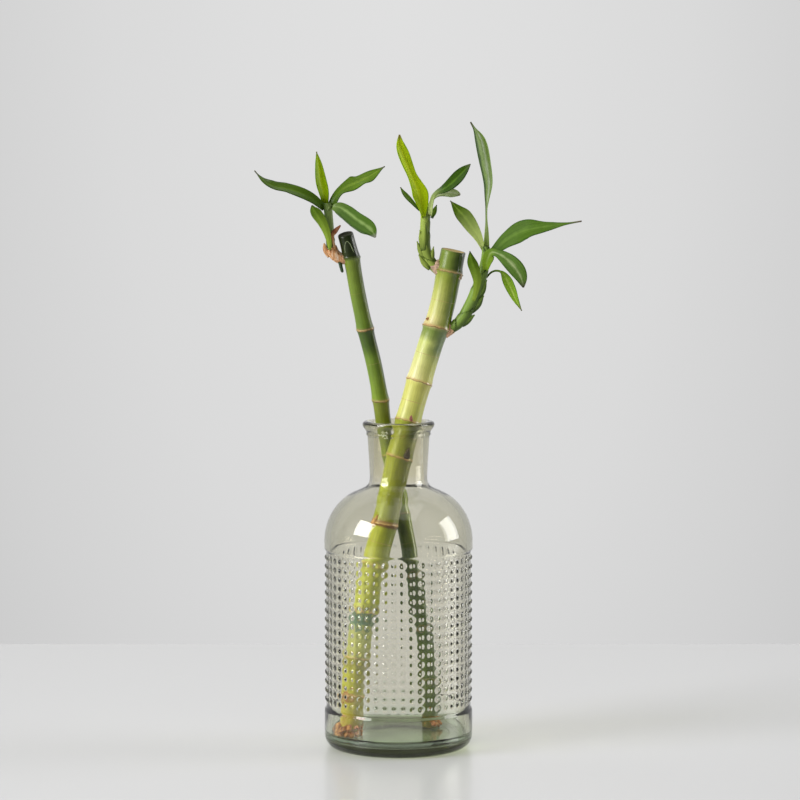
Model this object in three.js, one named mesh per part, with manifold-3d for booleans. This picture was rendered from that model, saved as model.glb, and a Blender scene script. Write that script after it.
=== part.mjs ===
// Lucky bamboo in its glass vase: a thick and a thin cane cross in the neck of a bottle vase
// with a studded band, stand in a little water, and carry three leafy shoots.
// Millimetres, +Z up, -Y is the front. The origin is the middle of the vase's foot.
import * as THREE from "three";
import { mergeVertices } from "three/addons/utils/BufferGeometryUtils.js";
import Module from "manifold-3d";

// Clearance between neighbouring pieces
const GAP = 0.3;

// Glass vase
const VASE = {
  footRadius: 32,
  bodyRadius: 38,
  heelHeight: 7,
  innerRadius: 35,
  innerFloor: 5,
  innerHeel: 2.6,
  bandBottom: 21,
  bandTop: 101.3,
  bandRadius: 37.1,
  studRadius: 38,
  studColumns: 50,
  studRows: 17,
  studPitch: 4.56,
  firstStud: 23,
  shoulderFoot: 106.5,
  shoulderHeight: 27,
  shoulderTopRadius: 13.6,
  neckRadius: 14.7,
  neckTopRadius: 16,
  neckFoot: 137,
  neckTop: 161.5,
  neckBore: 12.7,
  rimRadius: 18.4,
  height: 168,
};
const GLASS_WALL = 2.8;

// Water in the foot of the vase
const WATER_LEVEL = 8.5;
const WATER_RADIUS = 34.6;

// Canes: the line of the middle from top to foot, and the height, ring and swelling of each node
const THICK = {
  radius: 6.35,
  footRadius: 5.6,
  holeRadius: 6.7,
  top: 255,
  foot: 6.8,
  sides: 14,
  line: [
    [28.2, -1, 256], [25.7, -1.5, 244], [23, -2, 230], [19.3, -2.5, 216], [16.2, -2.5, 207],
    [10.6, -3, 188.5], [5, -4, 168.5], [0.5, -5.2, 150.5], [-2.5, -5.3, 136], [-7, -6, 115.5],
    [-12.5, -7, 94.5], [-17, -8.5, 72], [-21, -10.5, 48.5], [-22.9, -12, 30.5], [-23.8, -13.5, 7],
  ],
  nodes: [
    [244, 1.0], [216, 0.9], [188.5, 0.5], [168.5, 0.45], [150.5, 0.4], [116, 0.5], [95.5, 0.45],
    [72.5, 0.45], [48.5, 0.45], [28, 0.45],
  ],
};
const THIN = {
  radius: 4.0,
  footRadius: 4.2,
  holeRadius: 5.3,
  top: 263.5,
  foot: 8,
  sides: 11,
  line: [
    [-27.3, -5.1, 265], [-24, -4, 252], [-21, -2.5, 235], [-17, -1, 215.5], [-12.5, 0.5, 197],
    [-9.2, 2, 179], [-7.5, 3.2, 165.5], [-4.5, 5.4, 150.5], [-1.3, 6.2, 134], [2.6, 6.5, 116],
    [5.8, 6.5, 99.5], [11, 6, 69], [15.2, 5, 45], [16.3, 3.5, 26.5], [16.5, 2, 6],
  ],
  nodes: [
    [252, 0.6], [215.5, 0.45], [179, 0.4], [151.5, 0.3], [120, 0.3], [89, 0.3], [61, 0.3],
    [33, 0.3],
  ],
};
const NODE_HALF_WIDTH = 1.3;
const NODE_EDGE = 0.3;
const NODE_SWELL = 0.25;
const NODE_SWELL_REACH = 7;

// Leafy shoots: the line of each stem from where it grows out, its radius at foot and tip, and
// the number of leaf sheaths that wrap it
const LEFT_STEM = {
  line: [[-34.4, -4.5, 256.3], [-34.6, -4.5, 262], [-35, -4.5, 268], [-35.6, -4.5, 274], [-36, -4.5, 279]],
  radii: [2.3, 2.1],
  sheaths: 2,
};
const UPPER_STEM = {
  line: [
    [20.5, -1.5, 245], [17, -2, 248.5], [14.3, -2.5, 253], [13.3, -3, 258.5], [13.4, -3, 264.5],
    [13.7, -3, 271], [14.2, -3, 277],
  ],
  radii: [3.1, 2.3],
  sheaths: 4,
};
const RIGHT_STEM = {
  line: [
    [23.5, -2.5, 214.2], [28.6, -3, 216.6], [32.2, -3.5, 220.2], [35.4, -4, 225.7], [38.4, -5, 231.7],
    [40.6, -5, 237.7], [42.6, -5, 244], [44, -5, 251], [44.4, -5, 257],
  ],
  radii: [2.7, 3, 3, 2.6, 1.6],
  sheaths: 6,
};
const SHEATH_STEP = 0.45;
const SHEATH_SLANT = 0.18;
const SHEATH_RINGS = 5;
const STEM_SIDES = 10;

// Dry husk at the foot of the left shoot: a sleeve that grows from the cane, and the strip of it
// that runs up beside the stem and ends in a curled bract, a lobe at its mouth and a stub below
const HUSK_SLEEVE = [[-25, -4, 251.2], [-28.5, -4, 250.8], [-32, -4.4, 252.8], [-34.2, -4.5, 256.2]];
const HUSK_RADII = [2.4, 3.1];
const HUSK_STRIP = {
  width: 2.2, shape: [1, 0.8, 0.6, 0.5, 0.5, 0.55, 0.8, 1, 0.9, 0.6, 0.3],
  spine: [[-31.4, -6.4, 254.1], [-32.2, -7.1, 256.9], [-33, -7.1, 261], [-33.2, -7.2, 263.5],
    [-31.6, -7.5, 265.7], [-29.3, -8, 268]],
  roll: [30, 20, 0, -30], fold: -0.3, wave: 0.2, waves: 1,
};
const HUSK_LOBE = {
  width: 2.6, shape: [1, 1, 0.8, 0.3],
  spine: [[-34.6, -5.4, 252.4], [-36.9, -6, 255.6], [-37.6, -6.2, 258.8]],
  roll: [0, 0], fold: -0.3, wave: 0, waves: 1,
};
const HUSK_STUB = { at: [-29.8, -5, 249.3], towards: [0.28, -0.16, -0.96], length: 6, radius: 1, tip: 0.8 };

// Leaves. spine runs from foot to tip. width is the widest, and foot its share along the stalk,
// which takes up the share called stalk. belly is where along the spine the blade is widest, and
// taper how sharply it narrows to its tip. A leaf with a narrow waist has a shape instead: its
// shares of the width at even steps. roll is the turn of the blade about its spine in degrees,
// at even steps from foot to tip, 0 where its face looks to the front. fold is the rise of the
// edges over the rib as a share of the half width, and wave the height of the waved edge in
// millimetres, with waves along the blade.
const LEAF_THICKNESS = 0.7;
const LEAF_TIP_WIDTH = 0.7;
const LEAF_ROWS = 11;
const LEAF_COLUMNS = 4;
const FRESH = "#8fae2b";
const GREEN = "#5b8a2a";
const DEEP = "#46742a";
const LEAVES = [
  {
    name: "leaf_left_long", stem: "left", colour: DEEP,
    width: 9.4, foot: 0.42, stalk: 0, belly: 0.5, taper: 1.6,
    spine: [[-37.3, -6, 276.3], [-43, -7.5, 281], [-49, -10, 284.2], [-56, -13, 286.5],
      [-62.5, -16, 287.8], [-67.5, -18.5, 290.5], [-72, -21, 295.5]],
    roll: [35, 58, 58, 50], fold: 0.2, wave: 0.5, waves: 1.5,
  },
  {
    name: "leaf_left_upright", stem: "left", colour: FRESH,
    width: 6.2, foot: 0.4, stalk: 0, belly: 0.46, taper: 1.1,
    spine: [[-36.9, -2.6, 276], [-37.7, -2.5, 283], [-39.4, -2, 290.5], [-40.6, -1, 299],
      [-41.5, 0, 305]],
    roll: [20, 30, 35, 30], fold: 0.35, wave: 0.3, waves: 1,
  },
  {
    name: "leaf_left_wavy", stem: "left", colour: GREEN,
    width: 9.2, foot: 0.55, stalk: 0, belly: 0.58, taper: 1.1,
    spine: [[-34.4, -3, 276.8], [-29.6, -1.7, 285], [-23, 0.5, 288.7], [-19, 3, 290.5],
      [-13.5, 6, 293.3], [-7, 9, 297.5]],
    roll: [-40, -50, -45, -50], fold: 0.15, wave: 1.1, waves: 2.2,
  },
  {
    name: "leaf_left_drooping", stem: "left", colour: GREEN,
    width: 9.8, shape: [0.2, 0.46, 0.7, 0.82, 0.88, 0.91, 0.95, 0.97, 0.9, 0.6, 0.08],
    spine: [[-34.2, -7, 276.8], [-30.6, -8.5, 276.8], [-26.6, -11, 274.6], [-21.8, -14.5, 271],
      [-17.2, -18, 268], [-13.8, -20.5, 265.4], [-11.5, -22, 262.2]],
    roll: [-35, -25, -25, -20], fold: 0.18, wave: 0.4, waves: 1,
  },
  {
    name: "leaf_left_sheath", stem: "left", colour: FRESH,
    width: 5.6, shape: [0.2, 0.34, 0.48, 0.62, 0.76, 0.88, 0.97, 0.97, 0.78, 0.44, 0.1],
    spine: [[-34.7, -9, 255.3], [-35, -9, 259.5], [-36.3, -9.2, 264.7], [-38.6, -9.8, 269.8],
      [-41, -10.4, 273.4], [-42.8, -11, 276], [-43.6, -11.2, 278.1]],
    roll: [0, -10, -10, 0], fold: -0.3, wave: 0.1, waves: 1,
  },
  {
    name: "leaf_upper_tall", stem: "upper", colour: FRESH,
    width: 8.2, shape: [0.2, 0.5, 0.85, 1.08, 0.84, 0.66, 0.74, 0.76, 0.62, 0.36, 0.08],
    spine: [[12.6, -6.4, 271.3], [12, -6.4, 278.1], [10.2, -6.8, 285.2], [6.6, -7.6, 293.3],
      [3.1, -9.4, 301.8], [0.9, -10.6, 308.3], [0.5, -11.5, 313.5]],
    roll: [25, 28, 25, 15], fold: 0.45, wave: 0.35, waves: 1.5,
  },
  {
    name: "leaf_upper_narrow", stem: "upper", colour: DEEP,
    width: 3.4, foot: 0.5, stalk: 0, belly: 0.5, taper: 1.1,
    spine: [[10.8, -2.5, 275.3], [7, -2, 279.3], [4.5, -1, 282], [2.5, 0, 284.5], [1, 1, 287]],
    roll: [50, 50, 50, 50], fold: 0.2, wave: 0, waves: 1,
  },
  {
    name: "leaf_upper_arching", stem: "upper", colour: GREEN,
    width: 6.6, foot: 0.32, stalk: 0.34, belly: 0.74, taper: 0.8,
    spine: [[15.9, -6.2, 272.6], [16.6, -6.6, 279], [17.6, -6.8, 282.4], [19.3, -7.6, 284.4], [22.4, -9, 286],
      [26, -11.5, 288.6], [29.6, -14, 292], [32.8, -16, 295.4], [36, -18, 298.8]],
    roll: [-10, -25, -30, -25], fold: 0.15, wave: 0.3, waves: 1,
  },
  {
    name: "leaf_upper_tip", stem: "upper", colour: GREEN,
    width: 2.6, foot: 0.6, stalk: 0, belly: 0.4, taper: 1,
    spine: [[17, -2.5, 271.8], [18.2, -2, 275], [19.4, -1, 278]],
    roll: [20, 20, 20, 20], fold: 0.3, wave: 0, waves: 1,
  },
  {
    name: "leaf_upper_curled", stem: "upper", colour: GREEN,
    width: 5.2, foot: 0.34, stalk: 0.15, belly: 0.72, taper: 0.6,
    spine: [[14.6, -1.2, 275.8], [18.5, 2, 282.2], [23.5, 4, 284.4], [27.5, 6, 284.2],
      [31.5, 8, 283]],
    roll: [-20, -35, 30, 50], fold: 0.3, wave: 0.5, waves: 1.5,
  },
  {
    name: "leaf_right_tall", stem: "right", colour: GREEN,
    width: 8.2, shape: [0.36, 0.28, 0.16, 0.2, 0.62, 0.88, 0.98, 0.95, 0.62, 0.2, 0.08],
    spine: [[44.6, -4.9, 257.5], [44.6, -4, 266], [44.5, -3, 273.5], [44.8, -1.5, 281],
      [45.2, 0, 289.5], [43.5, 1.5, 300], [41.3, 2, 310.5], [39.1, 2, 315.5], [36.5, 1.5, 320]],
    roll: [0, 70, 48, 38, 30], fold: 0.2, wave: 0.3, waves: 1.5,
  },
  {
    name: "leaf_right_inner", stem: "right", colour: GREEN,
    width: 8, foot: 0.26, stalk: 0, belly: 0.6, taper: 1.1,
    spine: [[43.4, -3.6, 255], [40.6, -1, 261.3], [37.4, 2, 266.6], [33.8, 5, 271.8],
      [30.4, 7.5, 275.4], [26.5, 10, 280]],
    roll: [15, 20, 20, 15], fold: 0.2, wave: 0.3, waves: 1,
  },
  {
    name: "leaf_right_long", stem: "right", colour: GREEN,
    width: 11.2, shape: [0.3, 0.42, 0.68, 0.88, 1, 0.98, 0.78, 0.5, 0.26, 0.1, 0.06],
    spine: [[45.6, -4.8, 252], [49.5, -5.5, 255.9], [54.7, -8, 260.7], [60, -11, 264],
      [65.5, -14.5, 266], [71, -17.5, 267], [77, -20, 268], [83, -22.5, 268.9],
      [91.5, -25, 270.4]],
    roll: [-25, -35, -35, -45], fold: 0.08, wave: 0.9, waves: 2.2,
  },
  {
    name: "leaf_right_folded", stem: "right", colour: GREEN,
    width: 8.8, shape: [0.22, 0.5, 0.66, 0.5, 0.44, 0.66, 0.88, 1, 0.92, 0.6, 0.08],
    spine: [[44, -8, 244.3], [44.9, -9.5, 250.2], [46.8, -11, 254.2], [50.2, -13, 253.8],
      [54.8, -16.5, 250.8], [58.9, -20.5, 246.4], [61.4, -23, 242], [62.6, -24.5, 237.2]],
    roll: [0, -10, -22, -25, -20], fold: 0.15, wave: 0.5, waves: 1.5,
  },
  {
    name: "leaf_right_hanging", stem: "right", colour: FRESH,
    width: 5.2, foot: 0.17, stalk: 0.38, belly: 0.64, taper: 0.9,
    spine: [[44.2, -3.4, 240.8], [47, -2.8, 243.9], [49.4, -3, 244.8], [52.4, -3, 244],
      [54.8, -2.5, 240.5], [57.2, -3, 235.5], [59.4, -3.5, 230.5], [62.5, -5, 224.5]],
    roll: [-20, 5, 15, 15], fold: 0.2, wave: 0.2, waves: 1,
  },
  {
    name: "leaf_right_sheath", stem: "right", colour: GREEN,
    width: 5.2, foot: 0.3, stalk: 0, belly: 0.7, taper: 1,
    spine: [[37.7, -8.4, 229], [39.3, -9.3, 235], [39.8, -9.8, 240.5], [38.6, -10.3, 245.5],
      [36.9, -10.5, 250], [36, -10.2, 255]],
    roll: [5, 5, 5, 5], fold: -0.25, wave: 0.2, waves: 1,
  },
];

// Short roots at the feet of the canes, and small buds and scales on canes and stems
const THICK_ROOTS = { count: 10, seed: 7, length: 2.6, radius: 0.75, zone: [0.9, 4.8] };
const THIN_ROOTS = { count: 5, seed: 3, length: 2.2, radius: 0.65, zone: [0.8, 2] };
const SCALE_THICKNESS = 0.9;
const THICK_BUDS = [
  { at: [31.4, -4.6, 241], towards: [0.5, -0.5, 0.7], length: 3.8, radius: 1.6 },
  { at: [6.2, -10.0, 169.5], towards: [0.1, -0.35, 0.93], length: 4.2, radius: 1.5 },
  { at: [3.9, -10.7, 151.9], towards: [0.3, -0.15, 0.94], length: 6.2, radius: 2 },
  { at: [-11.6, -9.6, 117.2], towards: [0.3, -0.3, 0.9], length: 6.6, radius: 2.3 },
];
const STEM_SCALES = {
  upper: [
    { spine: [[13.9, -4.4, 251.3], [11.2, -4.6, 255.3], [9.4, -4.4, 259.8]], width: 3 },
    { spine: [[16.2, -4.4, 246.2], [12.9, -4.6, 249.3], [10.3, -4.4, 253.1]], width: 3 },
    { spine: [[12.4, -5.2, 257], [11.5, -5.4, 261], [10.8, -5, 265.5]], width: 2.8 },
    { spine: [[16.5, -4.4, 249.3], [17.1, -4.4, 253.3], [17.8, -4.2, 257.1]], width: 2.6 },
  ],
  right: [
    { spine: [[32, -4.6, 217.6], [35.2, -5, 220], [38.6, -5, 222.6]], width: 3.2 },
    { spine: [[36.6, -5.2, 224.5], [40.4, -5.8, 228.6], [43.2, -6, 232.4]], width: 3.8 },
    { spine: [[39.6, -6, 231], [42.6, -6.4, 235.4], [44.7, -6.5, 240.4]], width: 3.4 },
  ],
};

const manifold = await Module();
manifold.setup();

const part = new THREE.Group();

const vector = ([x, y, z]) => new THREE.Vector3(x, y, z);
const curveThrough = (points) => new THREE.CatmullRomCurve3(points.map(vector), false, "centripetal");

// A fixed sequence of draws between 0 and 1.
function seededDraws(seed) {
  let state = seed;
  return () => {
    state = (state * 1664525 + 1013904223) % 4294967296;
    return state / 4294967296;
  };
}

// The value at share t of a list of evenly spaced values, with straight lines between them.
function along(values, t) {
  const place = Math.min(Math.max(t, 0), 1) * (values.length - 1);
  const step = Math.min(Math.floor(place), values.length - 2);
  return values[step] + (values[step + 1] - values[step]) * (place - step);
}

// Point, direction, front and side of a curve at share t. The front is the direction nearest -Y.
function frameAt(curve, t) {
  const tangent = curve.getTangent(t);
  const front = new THREE.Vector3(0, -1, 0);
  front.addScaledVector(tangent, -front.dot(tangent)).normalize();
  const side = new THREE.Vector3().crossVectors(tangent, front);
  return { point: curve.getPoint(t), tangent, front, side };
}

// The share of a curve where it reaches a height, for a curve that runs down from top to foot.
function shareAtHeight(curve, height) {
  let low = 0;
  let high = 1;
  for (let i = 0; i < 40; i++) {
    const middle = (low + high) / 2;
    if (curve.getPoint(middle).z > height) low = middle;
    else high = middle;
  }
  return (low + high) / 2;
}

function toSolid(geometry) {
  const bare = geometry.clone();
  bare.deleteAttribute("normal");
  bare.deleteAttribute("uv");
  const merged = mergeVertices(bare, 1e-4);
  return new manifold.Manifold(
    new manifold.Mesh({
      numProp: 3,
      vertProperties: new Float32Array(merged.getAttribute("position").array),
      triVerts: new Uint32Array(merged.index.array),
    }),
  );
}

// The largest body of a solid, as a geometry. A cut can leave a loose scrap, which is dropped.
function toGeometry(solid) {
  const bodies = solid.decompose().sort((a, b) => b.volume() - a.volume());
  const { numProp, numVert, vertProperties, triVerts } = bodies[0].getMesh();
  const positions = new Float32Array(numVert * 3);
  for (let i = 0; i < numVert; i++)
    positions.set(vertProperties.subarray(i * numProp, i * numProp + 3), i * 3);
  return new THREE.BufferGeometry()
    .setAttribute("position", new THREE.BufferAttribute(positions, 3))
    .setIndex(new THREE.BufferAttribute(new Uint32Array(triVerts), 1));
}

function addPiece(name, solid, color, roughness) {
  const material = new THREE.MeshStandardMaterial({ color, roughness, metalness: 0 });
  const mesh = new THREE.Mesh(toGeometry(solid), material);
  mesh.name = name;
  part.add(mesh);
}

// A round solid along a curve. stations run from the curve's start to its end, each with the
// share of the curve and a radius, which may depend on the angle around it. Places are rounded
// so that both edges of the seam meet.
function sweep(curve, stations, sides) {
  const geometry = new THREE.CylinderGeometry(1, 1, 1, sides, stations.length - 1);
  const position = geometry.getAttribute("position");
  const rounded = (value) => Math.round(value * 1e6) / 1e6;
  for (let i = 0; i < position.count; i++) {
    const x = rounded(position.getX(i));
    const z = rounded(position.getZ(i));
    const { t, radius } = stations[Math.round((position.getY(i) + 0.5) * (stations.length - 1))];
    const { point, front, side } = frameAt(curve, t);
    const reach = typeof radius === "function" ? radius(Math.atan2(z, x)) : radius;
    point.addScaledVector(side, x * reach).addScaledVector(front, z * reach);
    position.setXYZ(i, point.x, point.y, point.z);
  }
  return toSolid(geometry);
}

// A thin solid on both sides of a surface, which gives point and normal for the share from foot
// to tip and for -1 to 1 across. Both faces are split into the same triangles.
function slab(rows, columns, surface, thickness) {
  const positions = [];
  const index = [];
  for (const face of [0.5, -0.5])
    for (let row = 0; row <= rows; row++)
      for (let column = 0; column <= columns; column++) {
        const { point, normal } = surface(row / rows, (2 * column) / columns - 1);
        point.addScaledVector(normal, face * thickness);
        positions.push(point.x, point.y, point.z);
      }
  const across = columns + 1;
  const under = (rows + 1) * across;
  for (let row = 0; row < rows; row++)
    for (let column = 0; column < columns; column++) {
      const a = row * across + column;
      const b = a + 1;
      const c = a + across + 1;
      const d = a + across;
      index.push(a, b, c, a, c, d);
      index.push(under + a, under + c, under + b, under + a, under + d, under + c);
    }
  const edge = [];
  for (let column = 0; column < columns; column++) edge.push(column);
  for (let row = 0; row < rows; row++) edge.push(row * across + columns);
  for (let column = columns; column > 0; column--) edge.push(rows * across + column);
  for (let row = rows; row > 0; row--) edge.push(row * across);
  edge.forEach((p, i) => {
    const q = edge[(i + 1) % edge.length];
    index.push(p, under + p, under + q, p, under + q, q);
  });
  const geometry = new THREE.BufferGeometry();
  geometry.setAttribute("position", new THREE.Float32BufferAttribute(positions, 3));
  geometry.setIndex(index);
  return toSolid(geometry);
}

// Half the width of a blade at share t: by its shape, or else an even stalk that widens to the
// belly and narrows from there to the tip.
function halfWidth({ width, shape, foot, stalk, belly, taper }, t) {
  const quarterTurn = (from, to) => ((Math.max(t - from, 0) / (to - from)) * Math.PI) / 2;
  let share;
  if (shape) share = along(shape, t);
  else if (t < belly) share = foot + (1 - foot) * Math.sin(quarterTurn(stalk, belly)) ** 1.4;
  else share = Math.max(Math.cos(quarterTurn(belly, 1)), 0) ** taper;
  return Math.max(share * width, LEAF_TIP_WIDTH) / 2;
}

// The middle surface of a leaf: a blade rolled about its spine, folded along its rib, with
// waves that grow towards its edges.
function leafSurface(leaf) {
  const curve = curveThrough(leaf.spine);
  const place = (t, v) => {
    const { point, front, side } = frameAt(curve, t);
    const roll = THREE.MathUtils.degToRad(along(leaf.roll, t));
    const normal = front.clone().multiplyScalar(Math.cos(roll)).addScaledVector(side, Math.sin(roll));
    const across = side.multiplyScalar(Math.cos(roll)).addScaledVector(front, -Math.sin(roll));
    const half = halfWidth(leaf, t);
    const phase = v > 0 ? 0 : 2.1;
    const wave = leaf.wave * v * v * Math.sin(2 * Math.PI * leaf.waves * t + phase) * Math.sin(Math.PI * t);
    return point
      .addScaledVector(across, v * half)
      .addScaledVector(normal, leaf.fold * (Math.abs(v) - 0.5) * half + wave);
  };
  const small = 0.01;
  return (t, v) => {
    const ends = [Math.max(t - small, 0), Math.min(t + small, 1)];
    const lengthwise = place(ends[1], v).sub(place(ends[0], v));
    const sideways = place(t, v + small).sub(place(t, v - small));
    return { point: place(t, v), normal: sideways.cross(lengthwise).normalize() };
  };
}

// The outline of the vase as one closed ring of radius and height, from the middle of its
// underside up the outside, over the rim and down the inside to the middle of its floor.
function vaseOutline() {
  const arc = (radius, height, rx, rz, from, to, steps) =>
    Array.from({ length: steps + 1 }, (_, i) => {
      const angle = THREE.MathUtils.degToRad(from + ((to - from) * i) / steps);
      return [radius + rx * Math.cos(angle), height + rz * Math.sin(angle)];
    });
  const v = VASE;
  const shoulderReach = v.bodyRadius - v.shoulderTopRadius;
  const heel = arc(v.footRadius, v.heelHeight, v.bodyRadius - v.footRadius, v.heelHeight, -90, 0, 3);
  const shoulder = arc(v.shoulderTopRadius, v.shoulderFoot, shoulderReach, v.shoulderHeight, 0, 82, 5);
  const rim = [
    [v.neckTopRadius, v.neckTop], [v.rimRadius - 1.2, v.height - 3.8], [v.rimRadius, v.height - 1.6],
    [v.rimRadius - 0.6, v.height - 0.4], [v.rimRadius - 2, v.height], [v.rimRadius - 4.4, v.height - 0.6],
  ];
  const insideShoulder = arc(
    v.shoulderTopRadius, v.shoulderFoot, v.innerRadius - v.shoulderTopRadius,
    v.shoulderHeight - GLASS_WALL, 84, 0, 4,
  );
  const insideHeel = arc(
    v.innerRadius - v.innerHeel, v.innerFloor + v.innerHeel, v.innerHeel, v.innerHeel, 0, -90, 2,
  );
  return {
    below: [[0, 0], ...heel, [v.bodyRadius, v.bandBottom - 1], [v.bandRadius, v.bandBottom + 0.2]],
    above: [
      [v.bandRadius, v.bandTop - 0.2], [v.bodyRadius, v.bandTop + 0.8], ...shoulder,
      [v.neckRadius + 0.8, v.neckFoot - 2], [v.neckRadius, v.neckFoot], ...rim,
      [v.neckBore, v.neckTop + 2], [v.neckBore, v.neckFoot - 2], ...insideShoulder, ...insideHeel,
      [0, v.innerFloor],
    ],
  };
}

// The vase: its outline turned about the axis, with a four-sided stud raised in each cell of the
// recessed band.
function vaseSolid() {
  const { below, above } = vaseOutline();
  const band = Array.from({ length: VASE.studRows + 1 }, (_, row) => [
    VASE.bandRadius,
    VASE.firstStud + row * VASE.studPitch,
  ]);
  const outline = [...below, ...band, ...above];
  const columns = VASE.studColumns;
  const positions = [];
  const index = [];
  const point = (radius, height, column) => {
    const angle = ((column + 0.5) / columns) * 2 * Math.PI;
    positions.push(radius * Math.cos(angle), radius * Math.sin(angle), height);
    return positions.length / 3 - 1;
  };
  const rings = outline.map(([radius, height]) =>
    Array.from({ length: radius === 0 ? 1 : columns }, (_, i) => point(radius, height, i)),
  );
  rings.slice(1).forEach((ring, row) => {
    const last = rings[row];
    const studded = row >= below.length && row < below.length + VASE.studRows;
    for (let i = 0; i < columns; i++) {
      const next = (i + 1) % columns;
      const [a, b] = [last[i % last.length], last[next % last.length]];
      const [c, d] = [ring[next % ring.length], ring[i % ring.length]];
      if (last.length === 1) index.push(a, c, d);
      else if (ring.length === 1) index.push(a, b, d);
      else if (studded) {
        const peak = point(VASE.studRadius, (outline[row][1] + outline[row + 1][1]) / 2, i + 0.5);
        index.push(a, b, peak, b, c, peak, c, d, peak, d, a, peak);
      } else index.push(a, b, c, a, c, d);
    }
  });
  const geometry = new THREE.BufferGeometry();
  geometry.setAttribute("position", new THREE.Float32BufferAttribute(positions, 3));
  geometry.setIndex(index);
  return toSolid(geometry);
}

// A cane between its cut top and its foot: a swelling and a sharp ring at each node.
function caneStations(cane, curve, extra = 0) {
  const heights = [cane.top, cane.foot];
  cane.nodes.forEach(([height], i) => {
    const below = i + 1 < cane.nodes.length ? cane.nodes[i + 1][0] : cane.foot;
    heights.push(height + NODE_HALF_WIDTH, height + NODE_EDGE, height - NODE_EDGE, height - NODE_HALF_WIDTH);
    heights.push((height + below) / 2);
  });
  const radius = (height) => {
    const share = (height - cane.foot) / (cane.top - cane.foot);
    let total = cane.footRadius + (cane.radius - cane.footRadius) * Math.min(share * 3, 1);
    for (const [node, ring] of cane.nodes) {
      const away = Math.abs(height - node);
      if (away < NODE_HALF_WIDTH) total += ring;
      total += NODE_SWELL * Math.max(0, 1 - away / NODE_SWELL_REACH);
    }
    return total + extra;
  };
  return heights
    .sort((a, b) => b - a)
    .map((height) => ({ t: shareAtHeight(curve, height), radius: radius(height) }));
}

function caneSolid(cane, extra) {
  const curve = curveThrough(cane.line);
  return sweep(curve, caneStations(cane, curve, extra), cane.sides);
}

// A bud: a low cone from a place on the stem towards a direction, pointed unless it has a tip.
function budSolid({ at, towards, length, radius, tip = 0 }) {
  const cone = new THREE.CylinderGeometry(tip, radius, length, 6, 1);
  cone.translate(0, length / 2 - radius, 0);
  cone.applyQuaternion(
    new THREE.Quaternion().setFromUnitVectors(new THREE.Vector3(0, 1, 0), vector(towards).normalize()),
  );
  cone.translate(...at);
  return toSolid(cone);
}

// Short stubby roots around the foot of a cane.
function rootSolids(cane, { count, seed, length, radius, zone }) {
  const draw = seededDraws(seed);
  const curve = curveThrough(cane.line);
  return Array.from({ length: count }, (_, i) => {
    const angle = ((i + draw() * 0.6) / count) * 2 * Math.PI;
    const height = cane.foot + along(zone, draw());
    const { point, front, side } = frameAt(curve, shareAtHeight(curve, height));
    const outward = side.clone().multiplyScalar(Math.cos(angle)).addScaledVector(front, Math.sin(angle));
    point.addScaledVector(outward, cane.footRadius - length * 0.75);
    const root = new THREE.CylinderGeometry(radius * (0.5 + draw() * 0.3), radius, length, 5);
    root.translate(0, length / 2, 0);
    root.applyQuaternion(new THREE.Quaternion().setFromUnitVectors(new THREE.Vector3(0, 1, 0), outward));
    root.translate(point.x, point.y, point.z);
    return toSolid(root);
  });
}

// A stem wrapped in leaf sheaths: each sheath widens a little to its slanting mouth, where the
// stem steps in again.
function stemSolid({ line, radii, sheaths }, extra = 0) {
  const curve = curveThrough(line);
  const steps = SHEATH_RINGS * sheaths;
  const stations = Array.from({ length: steps + 1 }, (_, i) => {
    const t = i / steps;
    const radius = (angle) => {
      const turn = Math.floor(t * sheaths) % 2 ? 1 : -1;
      const place = t * sheaths - SHEATH_SLANT * turn * Math.cos(angle);
      const filled = place - Math.floor(place);
      return along(radii, t) + SHEATH_STEP * (filled - 0.5) + extra;
    };
    return { t, radius };
  });
  return sweep(curve, stations, STEM_SIDES);
}

function scaleSolid({ spine, width }) {
  const scale = {
    spine, width, foot: 0.8, stalk: 0, belly: 0.35, taper: 1, roll: [0, 0], fold: -0.35, wave: 0, waves: 1,
  };
  return slab(5, 2, leafSurface(scale), SCALE_THICKNESS);
}

// Canes with their buds and roots
const canes = [
  { name: "thick_cane", cane: THICK, roots: THICK_ROOTS, buds: THICK_BUDS, colour: "#8fa53a" },
  { name: "thin_cane", cane: THIN, roots: THIN_ROOTS, buds: [], colour: "#5f8230" },
];
for (const piece of canes) {
  piece.solid = caneSolid(piece.cane);
  for (const root of rootSolids(piece.cane, piece.roots)) piece.solid = piece.solid.add(root);
  for (const bud of piece.buds) piece.solid = piece.solid.add(budSolid(bud));
  piece.clearance = caneSolid(piece.cane, GAP);
  for (const bud of piece.buds)
    piece.clearance = piece.clearance.add(
      budSolid({ ...bud, radius: bud.radius + GAP, length: bud.length + 3 * GAP }),
    );
}

// Stems of the shoots, each clear of the canes. The husk holds the foot of the left stem.
const cutAll = (solid, cutters) => cutters.reduce((rest, cutter) => rest.subtract(cutter), solid);
const caneClearances = canes.map(({ clearance }) => clearance);
const withScales = (solid, scales) => scales.reduce((whole, scale) => whole.add(scaleSolid(scale)), solid);
const stems = {
  left: { solid: stemSolid(LEFT_STEM), clearance: stemSolid(LEFT_STEM, GAP) },
  upper: {
    solid: withScales(stemSolid(UPPER_STEM), STEM_SCALES.upper),
    clearance: stemSolid(UPPER_STEM, GAP),
  },
  right: {
    solid: withScales(stemSolid(RIGHT_STEM), STEM_SCALES.right),
    clearance: stemSolid(RIGHT_STEM, GAP),
  },
};

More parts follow.
